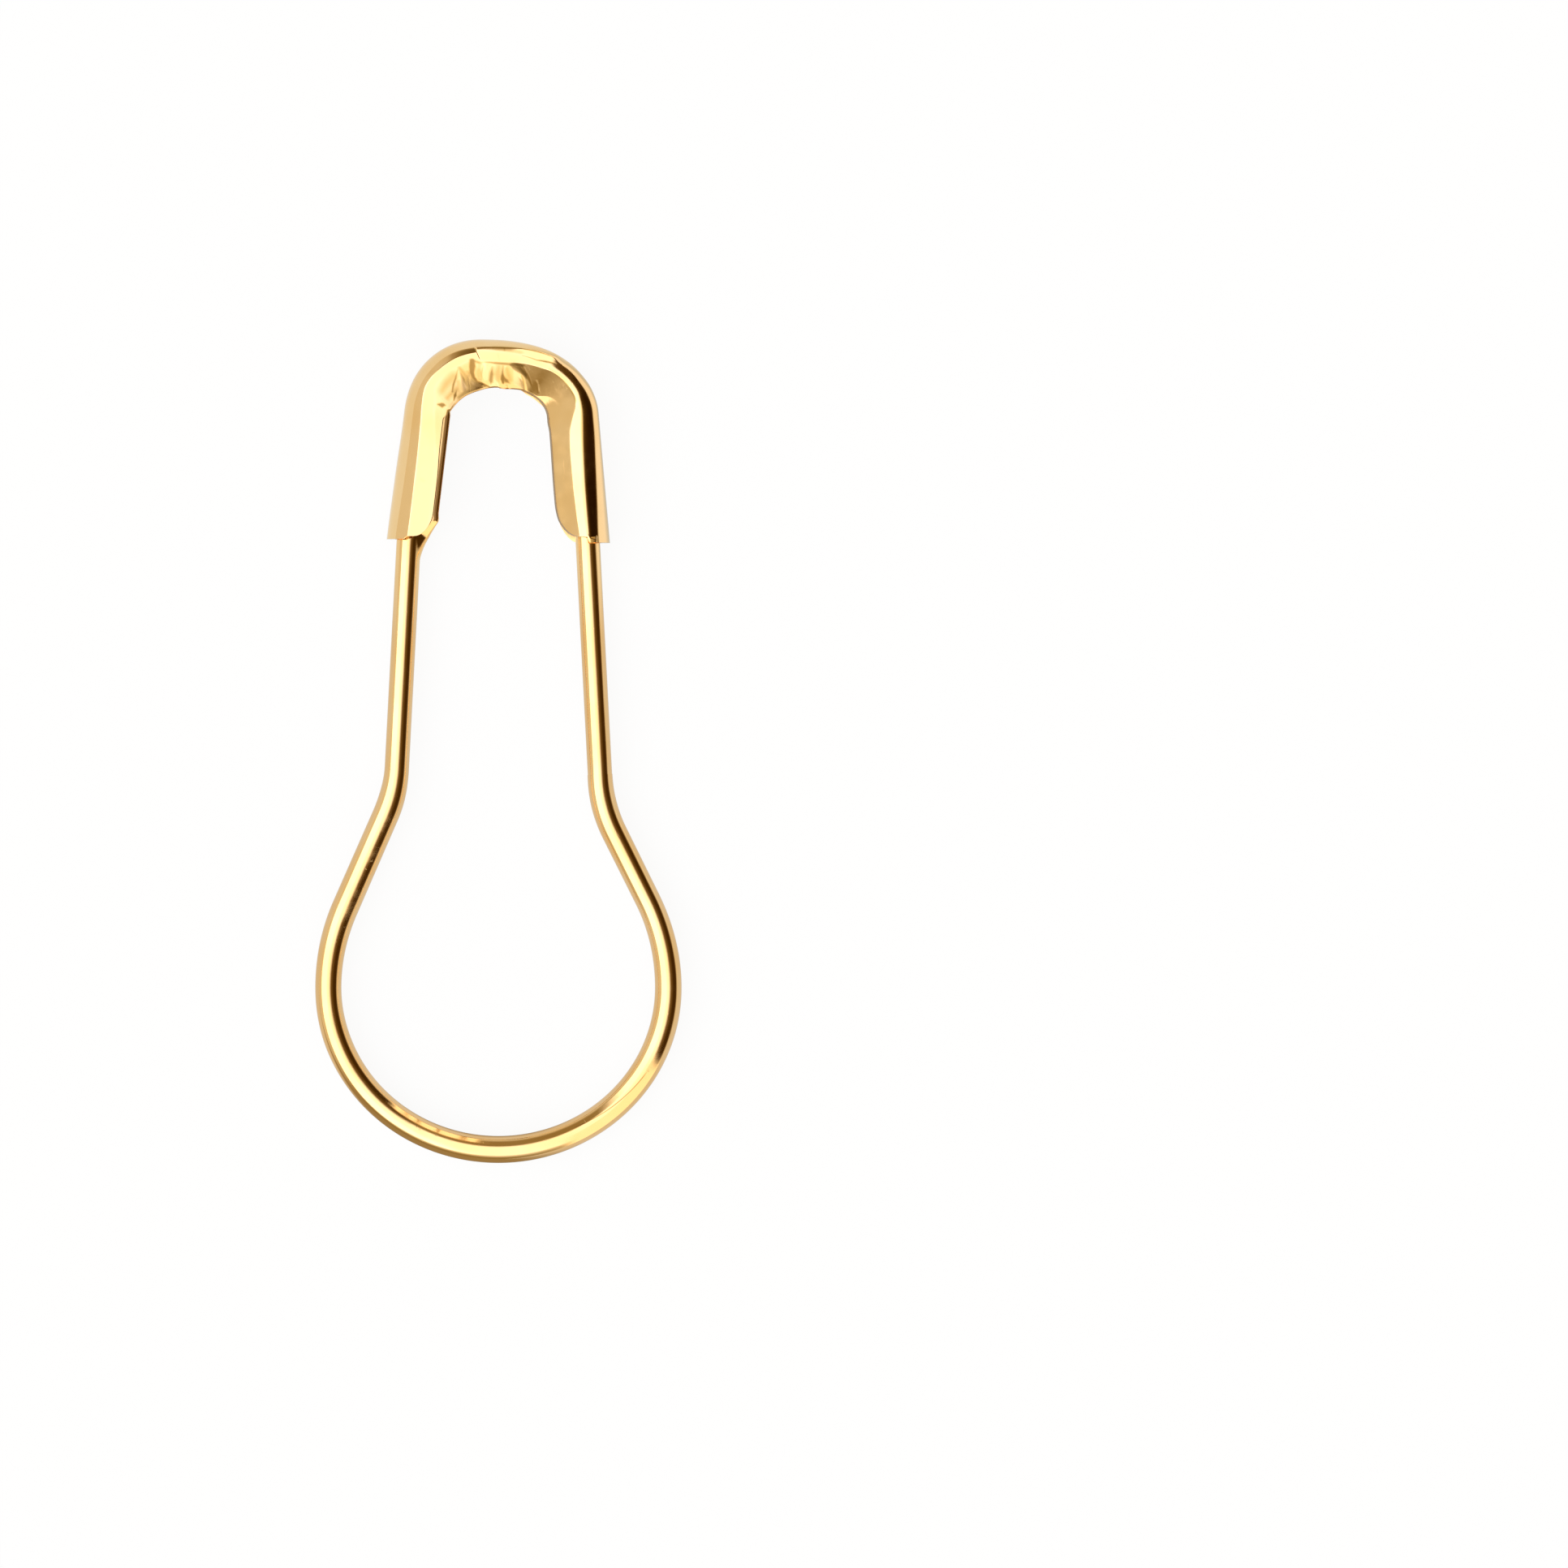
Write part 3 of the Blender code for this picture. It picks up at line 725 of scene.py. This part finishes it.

# Pleats and patches of painted shade and painted highlight, laid in this order: painted shade level (near
# zero paints a highlight over the shade beneath), softness in mm of depth (a place counts as 2 mm), height in
# hundredths of a mm, and points along it, each with its place, its depth and the half width there
webPleats = (
    (.50, .22, 0, ((-.64, .90, .09), (-.44, .84, .11))),
    (.60, .18, 0, ((-.67, 1.12, .06), (-.50, 1.18, .08))),
    (.66, .15, 0, ((-.56, 1.36, .06), (-.30, 1.42, .10))),
    (.56, .08, 0, ((-.325, .72, .03), (-.32, 1.0, .055), (-.35, 1.28, .08), (-.33, 1.46, .10))),
    (.50, .08, 0, ((-.275, .90, .03), (-.27, 1.18, .06), (-.24, 1.38, .06))),
    (.06, .05, .3, ((-.352, .80, .0), (-.385, 1.0, .04), (-.455, 1.27, .05))),
    (.76, .06, 0, ((-.345, .86, .0), (-.362, 1.05, .024), (-.385, 1.24, .0))),
    (.42, .08, 0, ((-.43, 1.03, .04), (-.475, 1.25, .06))),
    (.92, .05, 0, ((-.352, .75, .0), (-.43, .92, .020), (-.50, 1.02, .026), (-.570, 1.13, .018))),
    (1.0, .05, 0, ((-.645, 1.30, .012), (-.58, 1.25, .042), (-.52, 1.19, .0))),
    (.88, .06, 0, ((-.815, .95, .02), (-.797, 1.06, .060), (-.765, 1.14, .032), (-.742, 1.20, .014))),
    (1.0, .04, 0, ((-.93, 1.26, .045), (-.82, 1.27, .035), (-.77, 1.33, .0))),
    (.04, .05, 0, ((-.722, .98, .03), (-.735, 1.15, .06), (-.750, 1.36, .06))),
    (.68, .07, 0, ((-.160, .64, .03), (-.115, .71, .04))),
    (.92, .05, 0, ((-.168, .62, .05), (-.196, .78, .066), (-.236, .95, .052), (-.250, 1.10, .036),
                   (-.236, 1.24, .038), (-.180, 1.37, .050), (-.130, 1.42, .018))),
    (.30, .06, .4, ((-.12, .77, .02), (-.175, 1.0, .05), (-.215, 1.20, .03))),
    (.02, .05, .6, ((-.05, .75, .035), (-.09, 1.0, .070), (-.140, 1.30, .045))),
    (.66, .05, 0, ((-.085, .80, .0), (-.14, 1.0, .014), (-.185, 1.22, .0))),
    (.56, .10, 0, ((.045, .77, .03), (.025, 1.0, .07), (.01, 1.16, .04))),
    (.86, .07, 0, ((-.002, .80, .0), (-.035, 1.02, .044), (-.078, 1.24, .050), (-.10, 1.35, .0))),
    (.52, .11, 0, ((.11, .80, .02), (.135, .98, .05), (.165, 1.10, .04))),
    (1.0, .06, 0, ((.078, .74, .004), (.074, .93, .022), (.074, 1.10, .052), (.080, 1.19, .034))),
    (.98, .09, 0, ((.085, 1.04, .03), (.12, 1.13, .055), (.170, 1.19, .0))),
    (.0, .05, .4, ((-.105, 1.41, .02), (-.035, 1.345, .045), (.020, 1.26, .01))),
    (.0, .05, .3, ((.030, 1.255, .02), (.20, 1.275, .055), (.335, 1.29, .045))),
    (.82, .05, 0, ((-.085, .700, .0), (.03, .685, .032), (.13, .680, .036), (.24, .665, .04))),
    (.80, .06, 0, ((.14, .70, .0), (.22, .76, .045), (.29, .88, .048), (.325, 1.0, .01))),
    (.94, .05, -.2, ((.262, .92, .0), (.31, 1.10, .016), (.385, 1.33, .0))),
    (.82, .03, -.2, ((-.085, .300, .0), (.03, .250, .012), (.33, .206, .012), (.40, .188, .0))),
    (.36, .07, 0, ((.040, .305, .04), (.190, .328, .04))),
    (.66, .03, 0, ((.085, .275, .008), (.085, .335, .008))),
    (.94, .03, -.4, ((.21, .400, .0), (.33, .428, .012), (.40, .375, .026), (.47, .315, .014))),
    (.50, .09, 0, ((.46, .515, .0), (.62, .535, .04), (.86, .54, .02))),
)


def curveAt(name, place):
    # a smooth curve through a row of named values, without overshoot
    knots = capCurves[name]
    if place <= knots[0][0]:
        return knots[0][1]
    if place >= knots[-1][0]:
        return knots[-1][1]
    k = 1
    while knots[k][0] < place:
        k += 1
    low, high = knots[k - 1], knots[k]
    span = high[0] - low[0]

    def tangent(index):
        if index == 0 or index == len(knots) - 1:
            return 0.0
        before = (knots[index][1] - knots[index - 1][1]) / (knots[index][0] - knots[index - 1][0])
        after = (knots[index + 1][1] - knots[index][1]) / (knots[index + 1][0] - knots[index][0])
        if before * after <= 0:
            return 0.0
        return 2 * before * after / (before + after)

    share = (place - low[0]) / span
    first, second = tangent(k - 1) * span, tangent(k) * span
    rise = high[1] - low[1]
    bend = 3 * rise - 2 * first - second + share * (first + second - 2 * rise)
    return low[1] + share * (first + share * bend)


def capOuter(side, share):
    angle = share * math.pi / 2
    rise = cap["archHeight"] * math.sin(angle) ** (2 / cap["archSquareness"])
    legHeight = capTop - cap["archHeight"] - legBottom(side) + rise
    half = halfBottom - legHeight * legSlope(side) - side * cap["archShift"]
    across = half * max(math.cos(angle), 0.0) ** (2 / cap["archSquareness"])
    return Vector((cap["archShift"] + side * across, capTop - cap["archHeight"] + rise))


def capInner(side, share):
    angle = share * math.pi / 2
    rise = notch["archHeight"] * math.sin(angle) ** (2 / notch["squareness"])
    across = notch["width"] / 2 * max(math.cos(angle), 0.0) ** (2 / notch["squareness"])
    return Vector((side * across, notchBase + rise))


def cornerRecess(side, height):
    width, tall = cap["rightCorner"] if side > 0 else cap["leftCorner"]
    if height >= tall:
        return 0.0
    share = 1 - height / tall
    return width * (1 - math.sqrt(max(0.0, 1 - share * share)))


def foldLift(place, depth, dark):
    # height that ridges and pleats add at a point of the sheet, and the painted shade and painted highlight
    # that they leave there
    lift = 0.0
    ends, unit, long = cap["ridgeEnds"], cap["liftUnit"], cap["placeLength"]
    for startPlace, startDepth, endPlace, endDepth, wide, height, shade in webRidges:
        reach = abs(endPlace - startPlace) / 2 + cap["ridgeReach"] * wide
        if abs(place - (startPlace + endPlace) / 2) > reach:
            continue
        share = (depth - startDepth) / (endDepth - startDepth)
        away = (place - mix(startPlace, endPlace, clamp(share))) / wide
        ridge = math.exp(-away * away)
        ridge *= fade(share, 0.0, 2 * ends) * (1 - fade(share, 1.0, 2 * ends))
        lift += height * unit * ridge
        dark += shade * ridge
    here = Vector((long * place, depth))
    for shadeLevel, soft, height, points in webPleats:
        inside = -soft
        for (startPlace, startDepth, startWide), (endPlace, endDepth, endWide) in zip(points, points[1:]):
            nearest = min(abs(place - startPlace), abs(place - endPlace))
            if nearest < abs(endPlace - startPlace) + cap["pleatReach"]:
                start = Vector((long * startPlace, startDepth))
                run = Vector((long * endPlace, endDepth)) - start
                share = clamp((here - start).dot(run) / run.length_squared)
                inside = max(inside, mix(startWide, endWide, share) - (here - start - run * share).length)
        dark = mix(dark, shadeLevel, fade(inside, 0.0, soft))
        lift += height * unit * fade(inside, 0.0, 2 * soft)
    return lift, dark


def sectionDepths(bounds, rounds):
    # depths along the front skin, with the same number of points at every station
    depths = [bounds[0] - rounds[0]]
    last = len(rounds) - 1
    for k, steps in enumerate(cap["facetSteps"]):
        start = bounds[k] - rounds[k]
        flat = bounds[k] + rounds[k]
        end = bounds[k + 1] - (rounds[k + 1] if k < last else 0.0)
        depths += [mix(start, flat, step / cap["creaseSteps"]) for step in range(1, cap["creaseSteps"] + 1)]
        depths += [mix(flat, end, step / steps) for step in range(1, steps + 1)]
    return depths


def frontProfile(place, recess):
    # heights of the front skin at its depths, integrated from its facets' tilts, and the fold's arc before it
    wall = curveAt("wall", place) * mm
    edge = curveAt("edge", place) * mm - recess
    bounds = [curveAt(name, place) * mm for name in ("roundEnd", "bandStart", "bandEnd", "slopeEnd")]
    bounds += [edge - curveAt("lipWidth", place) * mm, edge]
    rounds = [curveAt(name, place) * mm for name in ("roundCrease", "bandCrease", "slopeCrease", "lipCrease")]
    rounds.append(cap["edgeRound"])
    for k in range(len(bounds) - 2, -1, -1):
        bounds[k] = min(bounds[k], bounds[k + 1] - cap["leastFacet"])
    for k in range(len(rounds)):
        before = bounds[k] - bounds[k - 1] if k else bounds[0] - wall
        after = bounds[k + 1] - bounds[k]
        rounds[k] = min(rounds[k], cap["roundLimit"] * min(before, after))
    roundTilt = math.radians(curveAt("roundTilt", place))
    names = (("rimStartTilt", "rimEndTilt"), ("bandStartTilt", "bandEndTilt"),
             ("slopeStartTilt", "slopeEndTilt"), ("lipTilt", "lipTilt"), ("edgeTilt", "edgeTilt"))
    tilts = [[math.radians(curveAt(name, place)) for name in pair] for pair in names]
    pleatDepth = curveAt("pleatDepth", place) * mm

    def tiltAt(depth):
        value = roundTilt
        for k, (first, second) in enumerate(tilts):
            if depth <= bounds[k] - rounds[k]:
                break
            along = clamp((depth - bounds[k]) / (bounds[k + 1] - bounds[k]))
            if k == 2:  # the web's slope changes at the pleats' own depth
                along = fade(depth, pleatDepth, cap["pleatSoft"])
            past = fade(depth, bounds[k], 2 * rounds[k])
            value = mix(value, mix(first, second, along), past)
        return value

    depths = sectionDepths(bounds, rounds)
    heights = [0.0]
    for low, high in zip(depths, depths[1:]):
        slopes = [math.tan(tiltAt(depth)) for depth in (low, (low + high) / 2, high)]
        heights.append(heights[-1] + (high - low) * (slopes[0] + 4 * slopes[1] + slopes[2]) / 6)
    top = max(heights)
    heights = [pin["capThickness"] - top + height for height in heights]
    radius = (depths[0] - wall) / (1 - math.sin(roundTilt))
    arc = []
    for k in range(cap["foldSteps"]):
        tilt = mix(math.pi / 2, roundTilt, k / cap["foldSteps"])
        arc.append((wall + radius * (1 - math.sin(tilt)),
                    heights[0] - radius * (math.cos(roundTilt) - math.cos(tilt))))
    return wall, arc, depths, heights, bounds


def capSection(side, outer, inner, place, height):
    # outer skin of the folded sheet at one station, from the back's edge round the fold to the front's edge,
    # with the wear, the painted shade, and the raw cut edge darkened partly by painted shade, of each point
    toward = (inner - outer).normalized()
    recess = cornerRecess(side, height)
    wall, arc, depths, heights, bounds = frontProfile(place, recess)
    backEdge = bounds[-1] + curveAt("backReach", place) * mm
    backRound = cap["backRound"]
    backSteps, backFoldSteps = cap["backSteps"], cap["foldSteps"] // 2
    section = [(mix(backEdge, wall + backRound, k / backSteps), 0.0) for k in range(backSteps + 1)]
    for k in range(1, backFoldSteps + 1):
        tilt = math.pi / 2 * k / backFoldSteps
        section.append((wall + backRound * (1 - math.sin(tilt)), backRound * (1 - math.cos(tilt))))
    section += arc
    wear = [0.0] * len(section)
    shadeLevel = [0.0] * len(section)
    rawAndShade = [1.0] + [0.0] * (len(section) - 1)
    roundEnd, bandStart, bandEnd = bounds[:3]
    lip = bounds[-2]
    deep = curveAt("deepTone", place)
    rimShade = curveAt("rimShade", place)
    cutEdgeAndShade = curveAt("cutEdgeAndShade", place)
    creases = list(zip((bandStart, bandEnd), cap["bandWear"]))
    for depth, z in zip(depths, heights):
        # painted shade over the pressed web and on the rim
        pressed = deep * easeStep((depth - bandEnd) / cap["pressedSoft"])
        rim = easeStep((depth - roundEnd) / cap["rimSoft"])
        rim *= 1 - fade(depth, bandStart, cap["rimEndSoft"])
        lift, dark = foldLift(place, depth / mm, pressed + rim * rimShade)
        section.append((depth, z + lift))
        wear.append(max(most * math.exp(-((depth - crease) / cap["wearReach"]) ** 2)
                        for crease, most in creases))
        shadeLevel.append(clamp(dark))
        rawAndShade.append(cutEdgeAndShade * fade(depth, lip, cap["cutSoft"]))
    return section, wear, shadeLevel, rawAndShade, outer, toward


def offsetInwards(section, thickness, stride):
    # the sheet's inner skin, one thickness in from the outer one and square to it, with fewer points
    inner = []
    for k in range(len(section)):
        if k % stride and k != len(section) - 1:
            continue
        before = section[max(k - stride, 0)]
        after = section[min(k + stride, len(section) - 1)]
        run = Vector((after[0] - before[0], after[1] - before[1])).normalized()
        inner.append((section[k][0] + run.y * thickness, section[k][1] - run.x * thickness))
    return inner


def archPlaces():
    count = cap["archStations"] // 2
    places = {side * k / count for k in range(count + 1) for side in (-1, 1)}
    low = cap["slitPlace"] - cap["slitReach"]
    places |= {low + 2 * cap["slitReach"] * k / cap["slitStations"] for k in range(cap["slitStations"] + 1)}
    return sorted(places)


def capStations():
    rows = []
    archBase = capTop - cap["archHeight"]

    def legStation(side, share):
        bottom = legBottom(side)
        outerY = mix(bottom, archBase, share)
        innerY = mix(bottom, notchBase, share)
        outer = Vector((side * (halfBottom - (outerY - bottom) * legSlope(side)), outerY))
        innerX = notch["width"] / 2 + (notchBase - innerY) * legSlope(side)
        return capSection(side, outer, Vector((side * innerX, innerY)), side * (2 - share), innerY - bottom)

    legShares = [(k / cap["legStations"]) ** cap["legCrowding"] for k in range(cap["legStations"])]
    rows += [legStation(-1, share) for share in legShares]
    for place in archPlaces():
        side = 1 if place > 0 else -1
        share = 1 - abs(place)
        inner = capInner(side, share)
        rows.append(capSection(side, capOuter(side, share), inner, place, inner.y - legBottom(side)))
    rows += [legStation(1, share) for share in reversed(legShares)]
    return rows


def footLift(x, y, depth):
    # the front skin is cut a little shorter than the folded edge at each foot
    side = 1 if x > 0 else -1
    start, lift = cap["rightTrim"] if side > 0 else cap["leftTrim"]
    above = y - legBottom(side)
    if above > cap["trimReach"]:
        return 0.0
    lift *= 1 - toeShare(x)
    return lift * fade(depth, start, cap["trimRound"]) * (1 - above / cap["trimReach"])


def toeShare(x):
    # how far a point is inside the right foot's small toe, where the falling rim runs level
    return fade(x, cap["toeFrom"], cap["toeSoft"]) * (1 - fade(x, cap["toeTo"], cap["toeSoft"]))


def toeLift(x, y):
    # raises the toe as the rim falls
    above = y - legBottom(1)
    if x < cap["toeFrom"] or above > cap["toeHeight"] + cap["toeSoft"]:
        return 0.0
    low = 1 - fade(above, cap["toeHeight"], cap["toeSoft"])
    return toeShare(x) * low * (x - cap["toeFrom"]) * cap["toeSlope"]


def makeCap():
    shell = bmesh.new()
    layers = {name: shell.verts.layers.float.new(name) for name in ("edgeWear", "recess", "cutEdgeAndShade")}
    frontStart = cap["backSteps"] + 1 + cap["foldSteps"] // 2
    skins = []
    for section, wear, shadeLevel, rawAndShade, outer, toward in capStations():
        pair = []
        innerSection = offsetInwards(section, pin["sheet"], cap["innerStride"])
        for points, isOuter in ((section, True), (innerSection, False)):
            row = []
            for k, (depth, z) in enumerate(points):
                x, y = outer.x + toward.x * depth, outer.y + toward.y * depth
                if k >= (frontStart if isOuter else frontStart // cap["innerStride"]):
                    z += toeLift(x, y)
                    y += footLift(x, y, depth)
                vert = shell.verts.new((x, y, z))
                vert[layers["edgeWear"]] = wear[k] if isOuter else 0.0
                # the inner skin is darkened by painted shade, which fades out near the foot
                insideShade = cap["innerShade"] * min(k, 1) * easeStep((y - capBottom) / cap["shadeFadeAtFoot"])
                vert[layers["recess"]] = shadeLevel[k] if isOuter else insideShade
                vert[layers["cutEdgeAndShade"]] = rawAndShade[k] if isOuter else 0.0
                row.append(vert)
            pair.append(row)
        skins.append(pair)
    for first, second in zip(skins, skins[1:]):
        for skin in (0, 1):
            lower, upper = first[skin], second[skin]
            for k in range(len(lower) - 1):
                shell.faces.new((lower[k], lower[k + 1], upper[k + 1], upper[k]))
        for k in (0, -1):
            shell.faces.new((first[0][k], second[0][k], second[1][k], first[1][k]))
    for outerRow, innerRow in (skins[0], skins[-1]):
        for k in range(len(innerRow) - 1):
            start = k * cap["innerStride"]
            end = min(start + cap["innerStride"], len(outerRow) - 1)
            shell.faces.new(outerRow[start:end + 1] + [innerRow[k + 1], innerRow[k]])
    bmesh.ops.recalc_face_normals(shell, faces=shell.faces)
    mesh = bpy.data.meshes.new("capShell")
    shell.to_mesh(mesh)
    shell.free()
    mesh.materials.append(sheetGold)
    mesh.shade_smooth()
    mesh.set_sharp_from_angle(angle=cap["sharpAngle"])
    return addObject("capShell", mesh)


capShell = makeCap()
print("cap folded,", len(capShell.data.polygons), "faces")


# What moves with what

for piece, nodes, slot in (
    (capShell, ("cap",), "gold_sheet"),
    (springWire, ("spring_wire",), "gold_wire"),
    (movingArm, ("arm_root", "pin_arm"), "gold_wire"),
):
    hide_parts(*nodes)
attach(capShell, "pin_frame")
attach(springWire, "pin_frame")
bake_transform(movingArm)
print("pieces ride on their bodies")


# Studio: a pale table, one big soft light overhead, and cards round the table

studio = {
    "surround": (0.75, 0.715, 0.61),
    "softBox": (1.55, 1.55, 1.55),
    "softBoxSide": (2.2, 2.2, 2.2),
    # where its brighter side ends, how far it reaches from overhead to either side, and half the softness
    # of those edges, all in degrees
    "softBoxSideEnd": (-20.0, -3.0),
    "softBoxAcross": (-60.0, 50.0, 1.5, 6.0),
    "softBoxAlong": (-56.0, 66.0, 6.0, 6.0),
}

# Cards round the table: azimuth from and to, zenith angle from and to, half the softness of the sides,
# of the near edge and of the far edge, all in degrees, and the card's colour
backCards = (
    ((-152, -72), (69, 140), (18, 7, 10), (0.30, 0.23, 0.10)),   # grey, in front
)
backBars = ((56.6, 57.8, 0.5), (61.4, 62.8, 0.5), (69.4, 70.6, 0.5), (78, 80, 0.8))
frontCards = (
    ((50, 135), (24, 77), (8, 8, 12), (0.31, 0.23, 0.10)),       # grey, behind
    ((-31, 60), (14, 79), (5, 12, 8), (0.17, 0.10, 0.03)),       # brown, at the right
    ((-33, 60), (37, 73), (7, 14, 5), (0.055, 0.026, 0.003)),    # black, over the brown one
    ((-69, -29), (12, 92), (3, 2, 3), (1.45, 1.35, 1.12)),       # bright panel, in front at the right
    ((52, 84), (50, 92), (1.5, 3, 6), (1.50, 1.30, 0.95)),       # bright panel, behind
    ((52, 84), (44, 50), (1.5, 2, 2), (0.60, 0.38, 0.16)),       # its upper seam
    *(((start, end), (44, 92), (soft, 3, 6), (0.50, 0.32, 0.13)) for start, end, soft in backBars),
)


def layCards(tree, light, azimuth, zenith, cards):
    # each card covers what is already there
    for sides, depth, soft, colour in cards:
        card = calc(tree, "MULTIPLY", window(tree, azimuth, *sides, soft[0], soft[0]),
                    window(tree, zenith, *depth, soft[1], soft[2]))
        light = layColours(tree, light, (card, colour))
    return light


def makeStudio():
    world = bpy.data.worlds.new("studio")
    bpy.context.scene.world = world
    world.use_nodes = True
    tree = world.node_tree
    x, y, z = axes(tree, addNode(tree, "ShaderNodeTexCoord").outputs["Generated"])
    degrees = 180 / math.pi
    azimuth = calc(tree, "MULTIPLY", calc(tree, "ARCTAN2", y, x), degrees)
    zenith = calc(tree, "MULTIPLY", calc(tree, "ARCCOSINE", z), degrees)
    leanX = calc(tree, "MULTIPLY", calc(tree, "ARCTAN2", x, z), degrees)
    leanY = calc(tree, "MULTIPLY", calc(tree, "ARCTAN2", y, z), degrees)
    box = calc(tree, "MULTIPLY", window(tree, leanX, *studio["softBoxAcross"]),
               window(tree, leanY, *studio["softBoxAlong"]))
    light = layCards(tree, studio["surround"], azimuth, zenith, backCards)
    side = remap(tree, leanX, *studio["softBoxSideEnd"])
    light = layColours(tree, light, (box, layColours(tree, studio["softBoxSide"], (side, studio["softBox"]))))
    light = layCards(tree, light, azimuth, zenith, frontCards)
    seen = addNode(tree, "ShaderNodeLightPath").outputs["Is Camera Ray"]
    light = layColours(tree, light, (seen, table["white"]))
    feed(tree, tree.nodes["Background"].inputs["Color"], light)


table = {
    "size": 0.9,
    "gap": 0.01 * mm,
    "colour": (0.92, 0.92, 0.92),
    "white": (1.0, 1.0, 1.0),
    "glow": 0.92,
    # its tones in the metal, painted reflections: in general, lighter beside the cap, a painted contact
    # shadow right of the cap's inner wall, white right of the cap, and a painted dark patch in front of the
    # bulb
    "plainTone": (0.69, 0.69, 0.69),
    "capTone": (0.82, 0.86, 0.86),
    "wallTone": (0.62, 0.66, 0.66),
    "rightTone": (1.0, 1.0, 1.0),
    "frontTone": (0.28, 0.21, 0.09),
    "capFrom": (3.0 * mm, 6.0 * mm),
    "wallFrom": (1.5 * mm, 3.2 * mm),
    "rightFrom": (3.2 * mm, 4.6 * mm),
    "frontFrom": (-8.6 * mm, -10.6 * mm),
    "frontLeftOf": (3.0 * mm, 0.5 * mm),
}


def makeTable():
    # white to the camera and a pale tone in the metal with painted lighter and darker patches, with a share
    # of plain paper that keeps the shadow
    size = table["size"] / 2
    corners = [(x * size, y * size, -table["gap"]) for x, y in ((-1, -1), (1, -1), (1, 1), (-1, 1))]
    mesh = bpy.data.meshes.new("table")
    mesh.from_pydata(corners, [], [(0, 1, 2, 3)])
    paper = bpy.data.materials.new("palePaper")
    paper.use_nodes = True
    tree = paper.node_tree
    tree.nodes.clear()
    x, y = axes(tree, addNode(tree, "ShaderNodeTexCoord").outputs["Object"])[:2]
    beside = remap(tree, y, *table["capFrom"])
    right = calc(tree, "MULTIPLY", beside, remap(tree, x, *table["wallFrom"]))
    front = calc(tree, "MULTIPLY", remap(tree, y, *table["frontFrom"]), remap(tree, x, *table["frontLeftOf"]))
    # painted reflections: lighter beside and right of the cap, a painted contact shadow by the inner wall and
    # a painted dark patch in front of the bulb
    outside = layColours(tree, table["wallTone"], (remap(tree, x, *table["rightFrom"]), table["rightTone"]))
    tone = layColours(tree, table["plainTone"], (beside, table["capTone"]), (right, outside),
                      (front, table["frontTone"]))
    path = addNode(tree, "ShaderNodeLightPath")
    inMetal = calc(tree, "MAXIMUM", path.outputs["Is Glossy Ray"], path.outputs["Is Transmission Ray"])
    glow = calc(tree, "MAXIMUM", path.outputs["Is Camera Ray"], inMetal)
    tone = layColours(tree, table["white"], (inMetal, tone))
    diffuse = addNode(tree, "ShaderNodeBsdfDiffuse", {"Color": table["colour"]}).outputs[0]
    emission = addNode(tree, "ShaderNodeEmission", {"Color": tone}).outputs[0]
    share = calc(tree, "MULTIPLY", glow, table["glow"])
    both = addNode(tree, "ShaderNodeMixShader", (share, diffuse, emission)).outputs[0]
    addNode(tree, "ShaderNodeOutputMaterial", {"Surface": both})
    mesh.materials.append(paper)
    addObject("table", mesh)


makeStudio()
makeTable()

camera = {
    "frameWidth": 41.876 * mm,
    "centre": (7.630 * mm, -0.8995 * mm),
    "focusHeight": 0.60 * mm,
    "lens": 400.0,
    "sensor": 36.0,
    "clipShare": 100,
}


def makeCamera():
    data = bpy.data.cameras.new("camera")
    data.lens = camera["lens"]
    data.sensor_width = camera["sensor"]
    distance = camera["frameWidth"] * camera["lens"] / camera["sensor"]
    data.clip_start = distance / camera["clipShare"]
    data.clip_end = distance * camera["clipShare"]
    holder = addObject("camera", data)
    holder.location = (*camera["centre"], camera["focusHeight"] + distance)
    bpy.context.scene.camera = holder


makeCamera()
bpy.context.scene.view_settings.view_transform = "Standard"
print("studio and camera ready")
